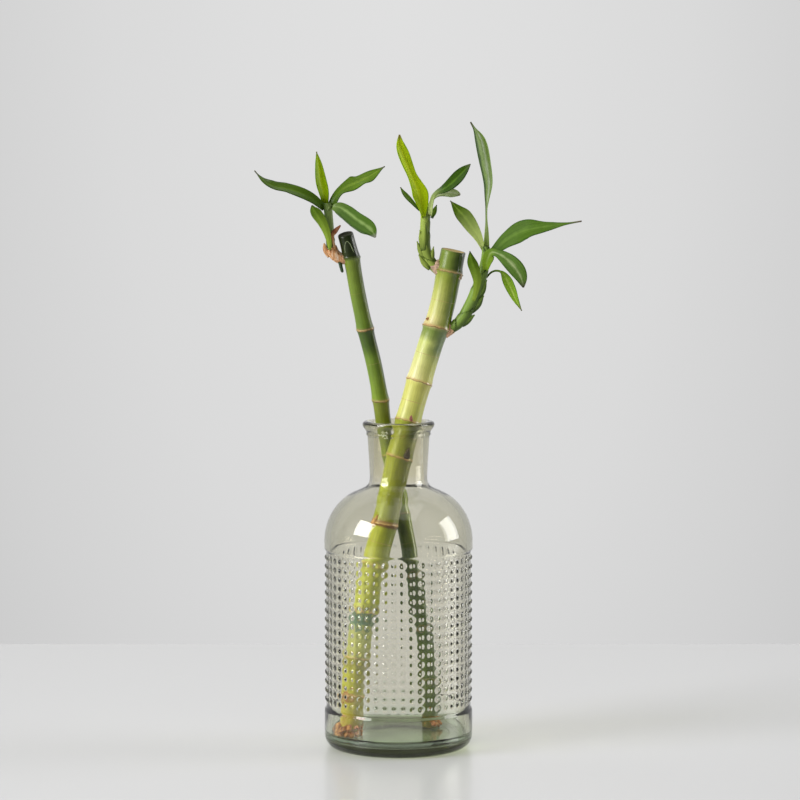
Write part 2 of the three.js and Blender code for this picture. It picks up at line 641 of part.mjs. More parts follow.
function huskSolid() {
  const curve = curveThrough(HUSK_SLEEVE);
  const stations = [0, 0.25, 0.5, 0.75, 0.9, 1].map((t) => ({ t, radius: along(HUSK_RADII, t) }));
  const strips = [HUSK_STRIP, HUSK_LOBE].map((strip) => slab(8, 2, leafSurface(strip), LEAF_THICKNESS));
  const husk = [...strips, budSolid(HUSK_STUB)].reduce(
    (whole, piece) => whole.add(piece),
    sweep(curve, stations, 12),
  );
  return cutAll(husk, [...caneClearances, stems.left.clearance]);
}

addPiece("vase", vaseSolid(), "#aeb4a2", 0.05);

const waterOutline = [
  [0, VASE.innerFloor + GAP], [VASE.innerRadius - VASE.innerHeel, VASE.innerFloor + GAP],
  [VASE.innerRadius - 1.2, VASE.innerFloor + 1.2], [WATER_RADIUS, VASE.innerFloor + VASE.innerHeel + GAP],
  [WATER_RADIUS, WATER_LEVEL], [0, WATER_LEVEL],
].map(([radius, height]) => new THREE.Vector2(radius, height));
const waterShape = new THREE.LatheGeometry(waterOutline, VASE.studColumns);
waterShape.rotateX(Math.PI / 2);
const holes = canes.map(({ cane }) => {
  const curve = curveThrough([...cane.line, [cane.line.at(-1)[0], cane.line.at(-1)[1], 0]]);
  const ends = [WATER_LEVEL + 2, VASE.innerFloor - 1];
  const stations = ends.map((height) => ({ t: shareAtHeight(curve, height), radius: cane.holeRadius }));
  return sweep(curve, stations, 16);
});
addPiece("water", cutAll(toSolid(waterShape), holes), "#d5dfd6", 0.05);

for (const { name, solid, colour } of canes) addPiece(name, solid, colour, 0.4);

addPiece("left_shoot_husk", huskSolid(), "#c78a4e", 0.7);
addPiece("left_shoot_stem", cutAll(stems.left.solid, caneClearances), "#6c8f2c", 0.45);
addPiece("upper_shoot_stem", cutAll(stems.upper.solid, caneClearances), "#7f9f3a", 0.45);
addPiece("right_shoot_stem", cutAll(stems.right.solid, caneClearances), "#5f8a2e", 0.45);

// Leaves, each cut clear of its stem and of the leaves placed before it
const placed = { left: [], upper: [], right: [] };
for (const leaf of LEAVES) {
  const stem = stems[leaf.stem];
  const clearOf = [stem.clearance, ...caneClearances, ...placed[leaf.stem]];
  const blade = slab(LEAF_ROWS, LEAF_COLUMNS, leafSurface(leaf), LEAF_THICKNESS);
  addPiece(leaf.name, cutAll(blade, clearOf), leaf.colour, 0.35);
  const wider = { ...leaf, width: leaf.width + 2 * GAP };
  placed[leaf.stem].push(slab(LEAF_ROWS, LEAF_COLUMNS, leafSurface(wider), LEAF_THICKNESS + 2 * GAP));
}

export default part;
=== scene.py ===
"""Lucky bamboo in its glass vase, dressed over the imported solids.

The vase is spun in glass with rounded studs, the canes are bent tubes with leaf scars, and every
leaf is a fine blade on the same line as its solid. Lengths are in millimetres until a piece is
finished, and in metres from there on.
"""
import math
import random

import bmesh
import bpy
from mathutils import Matrix, Vector


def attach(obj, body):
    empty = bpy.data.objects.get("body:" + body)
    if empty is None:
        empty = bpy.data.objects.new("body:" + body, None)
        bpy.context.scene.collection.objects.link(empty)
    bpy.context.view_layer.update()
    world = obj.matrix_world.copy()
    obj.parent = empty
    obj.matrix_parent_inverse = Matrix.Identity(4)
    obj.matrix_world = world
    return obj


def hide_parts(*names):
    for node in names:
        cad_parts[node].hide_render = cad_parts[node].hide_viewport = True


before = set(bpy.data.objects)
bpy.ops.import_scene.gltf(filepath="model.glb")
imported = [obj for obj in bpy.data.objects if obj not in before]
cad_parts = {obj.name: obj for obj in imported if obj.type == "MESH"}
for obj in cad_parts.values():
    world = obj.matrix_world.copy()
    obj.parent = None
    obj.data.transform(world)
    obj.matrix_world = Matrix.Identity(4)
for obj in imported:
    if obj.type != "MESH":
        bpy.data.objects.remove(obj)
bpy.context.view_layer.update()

MM = 0.001

# Glass vase
VASE_HEIGHT = 168
FOOT_RADIUS = 32
BODY_RADIUS = 38
HEEL_HEIGHT = 7
INNER_RADIUS = 35
INNER_FLOOR = 5
INNER_HEEL = 2.6
BAND_RADIUS = 37.1
BAND_FIRST_STUD = 23
STUD_HEIGHT = 0.8
STUD_REACH = 0.34
STUD_COLUMNS = 50
STUD_ROWS = 17
STUD_PITCH = 4.56
STUD_STEPS = 8
STUD_SQUEEZE = 0.9
SHOULDER_FOOT = 106.5
SHOULDER_HEIGHT = 27
SHOULDER_TOP_RADIUS = 13.6
GLASS_WALL = 2.8
NECK_BORE = 12.7

# Lines of the vase, each point a radius and a height
FOOT_HOLLOW = [(0, 1.9), (9, 1.7), (18, 0.9), (23, 0.25), (27, 0)]
STEP_BELOW_BAND = [(38, 19), (37.9, 19.7), (37.6, 20.3), (37.25, 20.9), (37.1, 21.6)]
STEP_ABOVE_BAND = [(37.1, 101.02), (37.25, 101.6), (37.6, 102.1), (37.9, 102.6), (38, 103.3)]
NECK_AND_RIM = [
    (20.4, 132.6), (17.8, 133.8), (16.2, 134.9), (15.2, 136.3), (14.75, 138.4), (14.8, 142),
    (15.1, 148), (15.5, 154), (15.85, 159.6), (15.95, 160.4), (16.4, 160.9), (16.5, 161.5),
    (16.35, 162.2), (16.7, 163.1), (17.5, 164.2), (18.15, 165.3), (18.4, 166.3), (18.1, 167.3),
    (17.2, 167.9), (16, VASE_HEIGHT), (14.9, 167.8), (13.9, 167.1), (13.2, 166), (12.8, 164.5),
    (NECK_BORE, 162.5),
]
NECK_INSIDE = [(12.75, 144), (12.95, 140.5), (13.4, 137.6), (14.3, 135.2), (15.8, 133.2),
               (18, 131.6), (21, 129.8)]

# Water. At its rim it climbs the glass a little: how far in from the glass, and how high.
WATER_LEVEL = 8.5
GLASS_OVERLAP = 0.06
WATER_RIM = [(-GLASS_OVERLAP, 0.4), (0.8, 0.15), (2, 0)]
WATER_STEPS = 160

# Canes: the line of the middle from the top down, and for each node its height, how far its ring
# stands out and how strong its scar is
THICK = {
    "radius": 6.35, "foot_radius": 5.6, "top": 255, "foot": 6.8,
    "line": [
        (28.2, -1, 256), (25.7, -1.5, 244), (23, -2, 230), (19.3, -2.5, 216), (16.2, -2.5, 207),
        (10.6, -3, 188.5), (5, -4, 168.5), (0.5, -5.2, 150.5), (-2.5, -5.3, 136),
        (-7, -6, 115.5), (-12.5, -7, 94.5), (-17, -8.5, 72), (-21, -10.5, 48.5),
        (-22.9, -12, 30.5), (-23.8, -13.5, 7),
    ],
    "nodes": [
        (244, 1.0, 0.7), (216, 0.9, 1), (188.5, 0.5, 0.9), (168.5, 0.45, 0.8), (150.5, 0.4, 0.8),
        (116, 0.5, 1), (95.5, 0.45, 0.5), (72.5, 0.45, 0.6), (48.5, 0.45, 0.6), (28, 0.45, 1),
    ],
}
THIN = {
    "radius": 4.0, "foot_radius": 4.2, "top": 263.5, "foot": 8,
    "line": [
        (-27.3, -5.1, 265), (-24, -4, 252), (-21, -2.5, 235), (-17, -1, 215.5), (-12.5, 0.5, 197),
        (-9.2, 2, 179), (-7.5, 3.2, 165.5), (-4.5, 5.4, 150.5), (-1.3, 6.2, 134), (2.6, 6.5, 116),
        (5.8, 6.5, 99.5), (11, 6, 69), (15.2, 5, 45), (16.3, 3.5, 26.5), (16.5, 2, 6),
    ],
    "nodes": [
        (252, 0.6, 0), (215.5, 0.45, 0.9), (179, 0.4, 0.9), (151.5, 0.3, 0.4), (120, 0.3, 0.4),
        (89, 0.3, 0.4), (61, 0.3, 0.4), (33, 0.3, 0.4),
    ],
}
NODE_SWELL = 0.25
NODE_SWELL_REACH = 7
NODE_CLEARANCE = 3.6
RING_SPACING = 3
CANE_SIDES = 48
CANE_SPAN = 265
CUT_RIM = 0.9
CUT_ROUNDING = 0.25
CUT_LEAN = 0.7

# Radial shape of a node: the distance from it along the cane, and the share of its ring
NODE_SHAPE = [(-3.2, 0), (-2, 0.1), (-1.1, 0.4), (-0.6, 0.85), (-0.2, 1), (0.1, 0.7), (0.3, 0.3),
              (0.55, 0.5), (1.1, 0.4), (2, 0.15), (3.4, 0)]

# Buds on the canes: place, direction, length, radius and colour
BUDS = [
    ((31.3, -4.8, 242), (0.5, -0.5, 0.7), 3.4, 1.5, "#ccb098"),
    ((6.2, -10, 169.5), (0.1, -0.35, 0.93), 4.2, 1.5, "#a8645a"),
    ((3.9, -10.7, 151.9), (0.3, -0.15, 0.94), 6.2, 1.9, "#463a1c"),
    ((-11.6, -9.6, 117.2), (0.3, -0.3, 0.9), 6.6, 2.3, "#c09058"),
    ((14.4, -6.6, 220.6), (-0.7, -0.7, 0.2), 1.9, 1.05, "#b88250"),
]
BUD_SHAPE = [0.8, 1, 0.85, 0.65, 0.45, 0.25, 0.03]
BUD_FLATNESS = 0.8
BUD_RINGS = 11
BUD_SIDES = 16

# Torn scar tissue around the foot of each shoot: line, radii, colour
COLLARS = [
    ([(21.1, -1.8, 245.1), (19.2, -2.1, 247), (17.7, -2.3, 248.7)], (3.5, 3), "#cfae92"),
    ([(23, -2.6, 213.6), (25.4, -2.9, 215), (27.4, -3.1, 216.1)], (3.4, 2.9), "#caa07a"),
    ([(-26.2, -4, 251.2), (-27.8, -4, 250.9), (-29, -4, 250.9)], (2.9, 2.6), "#b48a66"),
]

# A short dark stub below the husk
STUB = [(-29.9, -5, 250), (-29.4, -5.3, 248), (-28.9, -5.6, 246), (-28.3, -5.9, 244)]
STUB_COLOUR = "#26401a"

# A pale loop where a leaf once sat on the thin cane: height and way round from the front
LEAF_SCAR = [(253.2, -0.66), (255.8, -0.58), (258.4, -0.4), (260.2, -0.08), (259.2, 0.2),
             (256.6, 0.36), (253.4, 0.5)]
LEAF_SCAR_RADIUS = 0.16
LEAF_SCAR_COLOUR = "#8f9c72"

# Roots at the foot of each cane: how many, their length, how high they start, and how much longer
# and thicker they are towards +X, or towards -X where it is negative
ROOTS = [(THICK, 110, 3.2, 6.5, -0.8), (THIN, 16, 1.8, 4, 0.8)]
ROOT_RADII = (0.55, 1.05)
ROOT_TURN = 2.4
ROOT_CLEARANCE = 0.5

# Stems of the shoots: line, radii at even steps, and the leaf sheaths around them
STEMS = {
    "left_shoot_stem": {
        "line": [(-34.4, -4.5, 256.3), (-34.6, -4.5, 262), (-35, -4.5, 268), (-35.6, -4.5, 274),
                 (-36, -4.5, 279)],
        "radii": [2.3, 2.1], "sheaths": 2, "scales": [],
    },
    "upper_shoot_stem": {
        "line": [(20.5, -1.5, 245), (17, -2, 248.5), (14.3, -2.5, 253), (13.3, -3, 258.5),
                 (13.4, -3, 264.5), (13.7, -3, 271), (14.2, -3, 277)],
        "radii": [3.1, 2.3], "sheaths": 3,
        "scales": [([(13.9, -4.4, 251.3), (11.2, -4.6, 255.3), (9.4, -4.4, 259.8)], 3),
                   ([(16.2, -4.4, 246.2), (12.9, -4.6, 249.3), (10.3, -4.4, 253.1)], 3),
                   ([(12.4, -5.2, 257), (11.5, -5.4, 261), (10.8, -5, 265.5)], 2.8),
                   ([(16.5, -4.4, 249.3), (17.1, -4.4, 253.3), (17.8, -4.2, 257.1)], 2.6),
                   ([(13, -5.5, 255), (13.2, -5.8, 262), (13.6, -5.9, 269.5)], 4.4)],
    },
    "right_shoot_stem": {
        "line": [(23.5, -2.5, 214.2), (28.6, -3, 216.6), (32.2, -3.5, 220.2), (35.4, -4, 225.7),
                 (38.4, -5, 231.7), (40.6, -5, 237.7), (42.6, -5, 244), (44, -5, 251),
                 (44.4, -5, 257)],
        "radii": [2.7, 3, 3, 2.6, 1.6], "sheaths": 5,
        "scales": [([(32, -4.6, 217.6), (35.2, -5, 220), (38.6, -5, 222.6)], 3.2),
                   ([(36.6, -5.2, 224.5), (40.4, -5.8, 228.6), (43.2, -6, 232.4)], 3.8),
                   ([(39.6, -6, 231), (42.6, -6.4, 235.4), (44.7, -6.5, 240.4)], 3.4)],
    },
}

# A sheath starts and ends this many sheath lengths from its place on the stem. Its mouth slants
# up to a tip, on one side of the stem and then on the other. Its dark and light bands follow a
# pattern of this length up the stem, moved on for each sheath.
SHEATH_START, SHEATH_END = -0.75, 0.55
MOUTH_RISE, MOUTH_DROP, MOUTH_TURN = 0.75, 0.25, 0.7
PATTERN_LENGTH, PATTERN_STEP = 40, 7
WRAP_RINGS, WRAP_SIDES = 14, 32

# Small scales on stems and husk
SCALE_THICKNESS = 0.5
SCALE_PATTERN_LENGTH = 12
SCALE_COLUMNS, SCALE_ROWS = 8, 20

# Dry husk at the foot of the left shoot
HUSK_SLEEVE = [(-25, -4, 251.2), (-28.5, -4, 250.8), (-32, -4.4, 252.8), (-34.2, -4.5, 256.2)]
HUSK_RADII = [2.4, 3.1]
HUSK_STRIP = dict(
    width=2.2, shape=[1, 0.8, 0.6, 0.5, 0.5, 0.55, 0.8, 1, 0.9, 0.6, 0.2],
    line=[(-31.4, -6.4, 254.1), (-32.2, -7.1, 256.9), (-33, -7.1, 261), (-33.2, -7.2, 263.5),
          (-31.6, -7.5, 265.7), (-29.3, -8, 268)],
    roll=[30, 20, 0, -30], wave=0.2)
HUSK_LOBE = dict(
    width=2.6, shape=[1, 1, 0.8, 0.3],
    line=[(-34.6, -5.4, 252.4), (-36.9, -6, 255.6), (-37.6, -6.2, 258.8)])
RUST_FROM, RUST_TO = 261.5, 264.5

# Leaves: the same lines, widths, rolls, folds and waves as their solids, and a colour scheme. The
# width is eased through the shares in shape, or else swells from foot to belly and tapers off.
LEAF_THICKNESS = 0.42
LEAF_ROWS = 56
LEAF_COLUMNS = 14
LEAST_WIDTH = 0.5

# The foot of a leaf sinks this deep into its stem, over this share of its length.
FOOT_SINK = 2.2
FOOT_SHARE = 0.07
LEAVES = {
    "leaf_left_long": dict(
        scheme="deep", width=9.4, foot=0.42, stalk=0, belly=0.5, taper=1.6,
        spine=[(-37.3, -6, 276.3), (-43, -7.5, 281), (-49, -10, 284.2), (-56, -13, 286.5),
               (-62.5, -16, 287.8), (-67.5, -18.5, 290.5), (-72, -21, 295.5)],
        roll=[35, 58, 58, 50], fold=0.2, wave=0.5, waves=1.5),
    "leaf_left_upright": dict(
        scheme="fresh", width=6.2, foot=0.4, stalk=0, belly=0.46, taper=1.1,
        spine=[(-36.9, -2.6, 276), (-37.7, -2.5, 283), (-39.4, -2, 290.5), (-40.6, -1, 299),
               (-41.5, 0, 305)],
        roll=[20, 30, 35, 30], fold=0.35, wave=0.3, waves=1),
    "leaf_left_wavy": dict(
        scheme="green", width=9.2, foot=0.55, stalk=0, belly=0.58, taper=1.1,
        spine=[(-34.4, -3, 276.8), (-29.6, -1.7, 285), (-23, 0.5, 288.7), (-19, 3, 290.5),
               (-13.5, 6, 293.3), (-7, 9, 297.5)],
        roll=[-40, -50, -45, -50], fold=0.15, wave=1.1, waves=2.2),
    "leaf_left_drooping": dict(
        scheme="sheen", width=9.8,
        shape=[0.12, 0.46, 0.7, 0.82, 0.88, 0.9, 0.92, 0.9, 0.76, 0.46, 0.08],
        spine=[(-34.2, -7, 276.8), (-30.6, -8.5, 276.8), (-26.6, -11, 274.6), (-21.8, -14.5, 271),
               (-17.2, -18, 268), (-13.8, -20.5, 265.4), (-11.5, -22, 262.2)],
        roll=[-35, -25, -25, -20], fold=0.18, wave=0.4, waves=1),
    "leaf_left_sheath": dict(
        scheme="sheath", width=5.6,
        shape=[0.2, 0.34, 0.48, 0.62, 0.76, 0.88, 0.97, 0.97, 0.78, 0.44, 0.1],
        spine=[(-34.7, -9, 255.3), (-35, -9, 259.5), (-36.3, -9.2, 264.7), (-38.6, -9.8, 269.8),
               (-41, -10.4, 273.4), (-42.8, -11, 276), (-43.6, -11.2, 278.1)],
        roll=[0, -10, -10, 0], fold=-0.3, wave=0.1, waves=1),
    "leaf_upper_tall": dict(
        scheme="young", width=8.2,
        shape=[0.2, 0.5, 0.85, 1.08, 0.84, 0.66, 0.74, 0.76, 0.62, 0.36, 0.08],
        spine=[(12.6, -6.4, 271.3), (12, -6.4, 278.1), (10.2, -6.8, 285.2), (6.6, -7.6, 293.3),
               (3.1, -9.4, 301.8), (0.9, -10.6, 308.3), (0.5, -11.5, 313.5)],
        roll=[25, 28, 25, 15], fold=0.45, wave=0.35, waves=1.5),
    "leaf_upper_narrow": dict(
        scheme="deep", width=3.4, foot=0.5, stalk=0, belly=0.5, taper=1.1,
        spine=[(10.8, -2.5, 275.3), (7, -2, 279.3), (4.5, -1, 282), (2.5, 0, 284.5), (1, 1, 287)],
        roll=[50, 50, 50, 50], fold=0.2, wave=0, waves=1),
    "leaf_upper_arching": dict(
        scheme="glossy", width=6.6, foot=0.32, stalk=0.34, belly=0.74, taper=0.8,
        spine=[(15.9, -6.2, 272.6), (16.6, -6.6, 279), (17.6, -6.8, 282.4), (19.3, -7.6, 284.4),
               (22.4, -9, 286), (26, -11.5, 288.6), (29.6, -14, 292), (32.8, -16, 295.4),
               (36, -18, 298.8)],
        roll=[-10, -25, -30, -25], fold=0.15, wave=0.3, waves=1),
    "leaf_upper_tip": dict(
        scheme="green", width=2.6, foot=0.6, stalk=0, belly=0.4, taper=1,
        spine=[(17, -2.5, 271.8), (18.2, -2, 275), (19.4, -1, 278)],
        roll=[20, 20, 20, 20], fold=0.3, wave=0, waves=1),
    "leaf_upper_curled": dict(
        scheme="pale", width=5.2, foot=0.34, stalk=0.15, belly=0.72, taper=0.6,
        spine=[(14.6, -1.2, 275.8), (18.5, 2, 282.2), (23.5, 4, 284.4), (27.5, 6, 284.2),
               (31.5, 8, 283)],
        roll=[-20, -35, 30, 50], fold=0.3, wave=0.5, waves=1.5),
    "leaf_right_tall": dict(
        scheme="silver_sheen", width=8.2,
        shape=[0.36, 0.28, 0.16, 0.2, 0.62, 0.88, 0.98, 0.95, 0.62, 0.2, 0.08],
        spine=[(44.6, -4.9, 256.9), (44.6, -4, 266), (44.5, -3, 273.5), (44.8, -1.5, 281),
               (45.2, 0, 289.5), (43.5, 1.5, 300), (41.3, 2, 310.5), (39.1, 2, 315.5),
               (36.5, 1.5, 320)],
        roll=[0, 70, 48, 38, 30], fold=0.2, wave=0.3, waves=1.5),
    "leaf_right_inner": dict(
        scheme="inner", width=8, foot=0.26, stalk=0, belly=0.6, taper=1.1,
        spine=[(43.4, -3.6, 255), (40.6, -1, 261.3), (37.4, 2, 266.6), (33.8, 5, 271.8),
               (30.4, 7.5, 275.4), (26.5, 10, 280)],
        roll=[15, 20, 20, 15], fold=0.2, wave=0.3, waves=1),
    "leaf_right_long": dict(
        scheme="matte", width=11.2,
        shape=[0.3, 0.42, 0.68, 0.88, 1, 0.98, 0.78, 0.5, 0.26, 0.1, 0.06],
        spine=[(45.6, -4.8, 252), (49.5, -5.5, 255.9), (54.7, -8, 260.7), (60, -11, 264),
               (65.5, -14.5, 266), (71, -17.5, 267), (77, -20, 268), (83, -22.5, 268.9),
               (91.5, -25, 270.4)],
        roll=[-25, -35, -35, -45], fold=0.08, wave=0.9, waves=2.2),
    "leaf_right_folded": dict(
        scheme="mottled", width=8.8,
        shape=[0.22, 0.5, 0.66, 0.5, 0.44, 0.66, 0.88, 1, 0.92, 0.6, 0.08],
        spine=[(44, -8, 244.3), (44.9, -9.5, 250.2), (46.8, -11, 254.2), (50.2, -13, 253.8),
               (54.8, -16.5, 250.8), (58.9, -20.5, 246.4), (61.4, -23, 242), (62.6, -24.5, 237.2)],
        roll=[0, -10, -22, -25, -20], fold=0.15, wave=0.5, waves=1.5),
    "leaf_right_hanging": dict(
        scheme="bright", width=5.2, foot=0.17, stalk=0.38, belly=0.64, taper=0.9,
        spine=[(44.2, -3.4, 240.8), (47, -2.8, 243.9), (49.4, -3, 244.8), (52.4, -3, 244),
               (54.8, -2.5, 240.5), (57.2, -3, 235.5), (59.4, -3.5, 230.5), (62.5, -5, 224.5)],
        roll=[-20, 5, 15, 15], fold=0.2, wave=0.2, waves=1),
    "leaf_right_sheath": dict(
        scheme="sheath", width=5.2, foot=0.3, stalk=0, belly=0.7, taper=1,
        spine=[(37.7, -8.4, 229), (39.3, -9.3, 235), (39.8, -9.8, 240.5), (38.6, -10.3, 245.5),
               (36.9, -10.5, 250), (36, -10.2, 255)],
        roll=[5, 5, 5, 5], fold=-0.25, wave=0.2, waves=1),
}
FRONT = Vector((0, -1, 0))


def linear(colour):
    """An sRGB hex colour as linear red, green, blue and alpha."""
    channels = [int(colour[i:i + 2], 16) / 255 for i in (1, 3, 5)]
    return [c / 12.92 if c <= 0.04045 else ((c + 0.055) / 1.055) ** 2.4 for c in channels] + [1]


def new_material(name):
    """A material with its node tree and its Principled shader."""
    material = bpy.data.materials.new(name)
    material.use_nodes = True
    return material, material.node_tree, material.node_tree.nodes["Principled BSDF"]


def fill_node(tree, node, settings=(), links=()):
    """Gives a node its settings and links. Settings go to its sockets or to its own properties,
    colours as sRGB hex, and stops to its colour ramp. A link comes from an output, or from the
    first output in use of a node."""
    for name, value in dict(settings).items():
        if name == "stops":
            ramp = node.color_ramp
            while len(ramp.elements) < len(value):
                ramp.elements.new(0.5)
            for element, (place, colour) in zip(ramp.elements, value):
                element.position = place
                element.color = linear(colour) if isinstance(colour, str) else [colour] * 3 + [1]
        elif isinstance(name, int) or name in node.inputs:
            node.inputs[name].default_value = linear(value) if isinstance(value, str) else value
        else:
            setattr(node, name, value)
    for name, source in dict(links).items():
        if isinstance(source, bpy.types.Node):
            source = next(output for output in source.outputs if output.enabled)
        tree.links.new(source, node.inputs[name])
    return node


def add_node(tree, kind, settings=(), links=()):
    """Adds a node with its settings and links."""
    return fill_node(tree, tree.nodes.new("ShaderNode" + kind), settings, links)


def varied(tree, colour, noise, noise_range, shades):
    """The colour, from dark to bright shades over a range of a noise."""
    shade = add_node(tree, "MapRange", {"From Min": noise_range[0], "From Max": noise_range[1],
                                        "To Min": shades[0], "To Max": shades[1]},
                     {"Value": noise})
    return add_node(tree, "Mix", {"data_type": "RGBA", "blend_type": "MULTIPLY", 0: 1.0},
                    {6: colour, 7: shade})


class Curve:
    """A centripetal Catmull-Rom curve through points."""

    def __init__(self, points):
        points = [Vector(p) for p in points]
        self.points = [2 * points[0] - points[1], *points, 2 * points[-1] - points[-2]]

    def point(self, t):
        spans = len(self.points) - 3
        place = min(max(t, 0), 1) * spans
        span = min(int(place), spans - 1)
        rest = place - span
        p0, p1, p2, p3 = self.points[span:span + 4]
        d0, d1, d2 = (math.sqrt((b - a).length) for a, b in ((p0, p1), (p1, p2), (p2, p3)))
        out = ((p1 - p0) / d0 - (p2 - p0) / (d0 + d1) + (p2 - p1) / d1) * d1
        into = ((p2 - p1) / d1 - (p3 - p1) / (d1 + d2) + (p3 - p2) / d2) * d1
        return (p1 + out * rest + (3 * (p2 - p1) - 2 * out - into) * rest ** 2
                + (2 * (p1 - p2) + out + into) * rest ** 3)

    def frame(self, t):
        """Point, direction, front and side at share t. The front is the direction nearest -Y."""
        step = 1e-4
        tangent = (self.point(min(t + step, 1)) - self.point(max(t - step, 0))).normalized()
        front = (FRONT - tangent * FRONT.dot(tangent)).normalized()
        return self.point(t), tangent, front, tangent.cross(front)

    def around(self, t, angle, reach):
        """A point beside the curve at share t, out by reach at an angle from the side."""
        point, _, front, side = self.frame(t)
        return point + side * (math.cos(angle) * reach) + front * (math.sin(angle) * reach)

    def share_at_height(self, height):
        """The share where a curve that runs down reaches a height."""
        low, high = 0, 1
        for _ in range(30):
            middle = (low + high) / 2
            low, high = (middle, high) if self.point(middle).z > height else (low, middle)
        return (low + high) / 2


def along(values, t):
    """The value at share t of evenly spaced values, with straight lines between them."""
    place = min(max(t, 0), 1) * (len(values) - 1)
    step = min(int(place), len(values) - 2)
    return values[step] + (values[step + 1] - values[step]) * (place - step)


def eased(values, t):
    """The value at share t of evenly spaced values, with a smooth line through them."""
    return Curve([(i, v, 0) for i, v in enumerate(values)]).point(t).y


def new_object(name, bm, material, mesh_name):
    """Makes an object of a bmesh in metres."""
    mesh = bpy.data.meshes.new(mesh_name)
    bm.to_mesh(mesh)
    bm.free()
    mesh.materials.append(material)
    piece = bpy.data.objects.new(name, mesh)
    bpy.context.collection.objects.link(piece)
    return piece


def finish_piece(name, bm, material, slot, thickness=0, replaces=True):
    """Turns a bmesh in millimetres into a smooth piece that rides the root, as a sheet with a
    thickness where one is given. It replaces the node of its name, or adds to what is there."""
    bmesh.ops.scale(bm, vec=(MM, MM, MM), verts=bm.verts)
    piece = new_object("dressed_" + name, bm, material, name)
    piece.data.shade_smooth()
    if thickness:
        sheet = piece.modifiers.new("Solidify", "SOLIDIFY")
        sheet.thickness = thickness * MM
        sheet.offset = 0
        sheet.use_even_offset = True
    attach(piece, "root")
    if replaces:
        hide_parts(name)


def upright_tube(rings, sides):
    """A closed cylinder cut into rings, one unit apart from height 0 up."""
    bm = bmesh.new()
    bmesh.ops.create_cone(bm, cap_ends=True, segments=sides, radius1=1, radius2=1, depth=rings - 1,
                          matrix=Matrix.Translation((0, 0, (rings - 1) / 2)))
    uprights = [e for e in bm.edges if abs(e.verts[0].co.z - e.verts[1].co.z) > 0.5]
    bmesh.ops.subdivide_edges(bm, edges=uprights, cuts=rings - 2)
    return bm


def bend(bm, place):
    """Puts each vertex of an upright tube where place(ring, angle, vertex) says."""
    for vert in bm.verts:
        vert.co = place(round(vert.co.z), math.atan2(vert.co.y, vert.co.x), vert)
    bmesh.ops.recalc_face_normals(bm, faces=bm.faces)


def join(bm, other):
    """Adds a second bmesh to a first, with its attributes."""
    mesh = bpy.data.meshes.new("joined")
    other.to_mesh(mesh)
    other.free()
    bm.from_mesh(mesh)
    bpy.data.meshes.remove(mesh)


def rod(points, radius, tip, rings=10, sides=10):
    """A round rod along a smooth line, which narrows to its tip."""
    curve = Curve(points)
    bm = upright_tube(rings, sides)

    def place(ring, angle, vert):
        t = ring / (rings - 1)
        reach = (radius + (tip - radius) * t) * (0.5 if ring in (0, rings - 1) else 1)
        return curve.around(t, angle, reach)

    bend(bm, place)
    return bm


def spun(bm, profile, steps):
    """Turns a profile of radius and height about the vertical axis."""
    verts = [bm.verts.new((radius, 0, height)) for radius, height in profile]
    edges = [bm.edges.new(pair) for pair in zip(verts, verts[1:])]
    bmesh.ops.spin(bm, geom=verts + edges, cent=(0, 0, 0), axis=(0, 0, 1), angle=2 * math.pi,
                   steps=steps, use_merge=True)
    bmesh.ops.remove_doubles(bm, verts=bm.verts, dist=1e-4)
    bmesh.ops.recalc_face_normals(bm, faces=bm.faces)


def arc(radius, height, reach, rise, start, end, steps):
    """Points of a quarter round, from one angle to another in degrees."""
    turns = [math.radians(start + (end - start) * i / steps) for i in range(steps + 1)]
    return [(radius + reach * math.cos(a), height + rise * math.sin(a)) for a in turns]


def flowing(points, steps):
    """Points on a smooth line through a few points of radius and height."""
    curve = Curve([(r, h, 0) for r, h in points])
    return [tuple(curve.point(i / steps).xy) for i in range(steps + 1)]


def let_lamps_through(tree, shader, tint):
    """Light from the lamps passes straight through a clear material, so that what stands inside
    is lit."""
    clear = add_node(tree, "BsdfTransparent", {"Color": tint})
    rays = add_node(tree, "LightPath")
    mix = add_node(tree, "MixShader", links={0: rays.outputs["Is Shadow Ray"], 1: shader, 2: clear})
    fill_node(tree, tree.nodes["Material Output"], links={"Surface": mix})


def moulded_glass():
    """Pressed soda glass with a smoky olive tint: clear, glossy, darker where it is thick."""
    material, tree, shader = new_material("pressed_smoky_glass")
    place = add_node(tree, "TexCoord")
    parts = add_node(tree, "SeparateXYZ", links={"Vector": place.outputs["Object"]})
    height = add_node(tree, "MapRange", {"From Min": 0, "From Max": VASE_HEIGHT * MM},
                      {"Value": parts.outputs["Z"]})
    smoke = add_node(tree, "ValToRGB",
                     {"stops": [(0.03, "#ecf6ee"), (0.07, "#f7faf5"), (0.12, "#fdfbf6"),
                                (0.8, "#fdfbf6"), (0.84, "#f9f5e8")]}, {"Fac": height})
    fill_node(tree, shader, {"Roughness": 0.01, "IOR": 1.5, "Transmission Weight": 1},
              {"Base Color": smoke})
    tint = add_node(tree, "VolumeAbsorption", {"Color": "#aaad6c", "Density": 74})
    fill_node(tree, tree.nodes["Material Output"], links={"Volume": tint})
    let_lamps_through(tree, shader, "#f2f2ec")
    return material


def still_water():
    """Tap water: clear, with the refraction of water."""
    material, tree, shader = new_material("still_water")
    fill_node(tree, shader, {"Base Color": "#f4f8f2", "Roughness": 0, "IOR": 1.333,
                             "Transmission Weight": 1})
    let_lamps_through(tree, shader, "#f6f8f4")
    return material


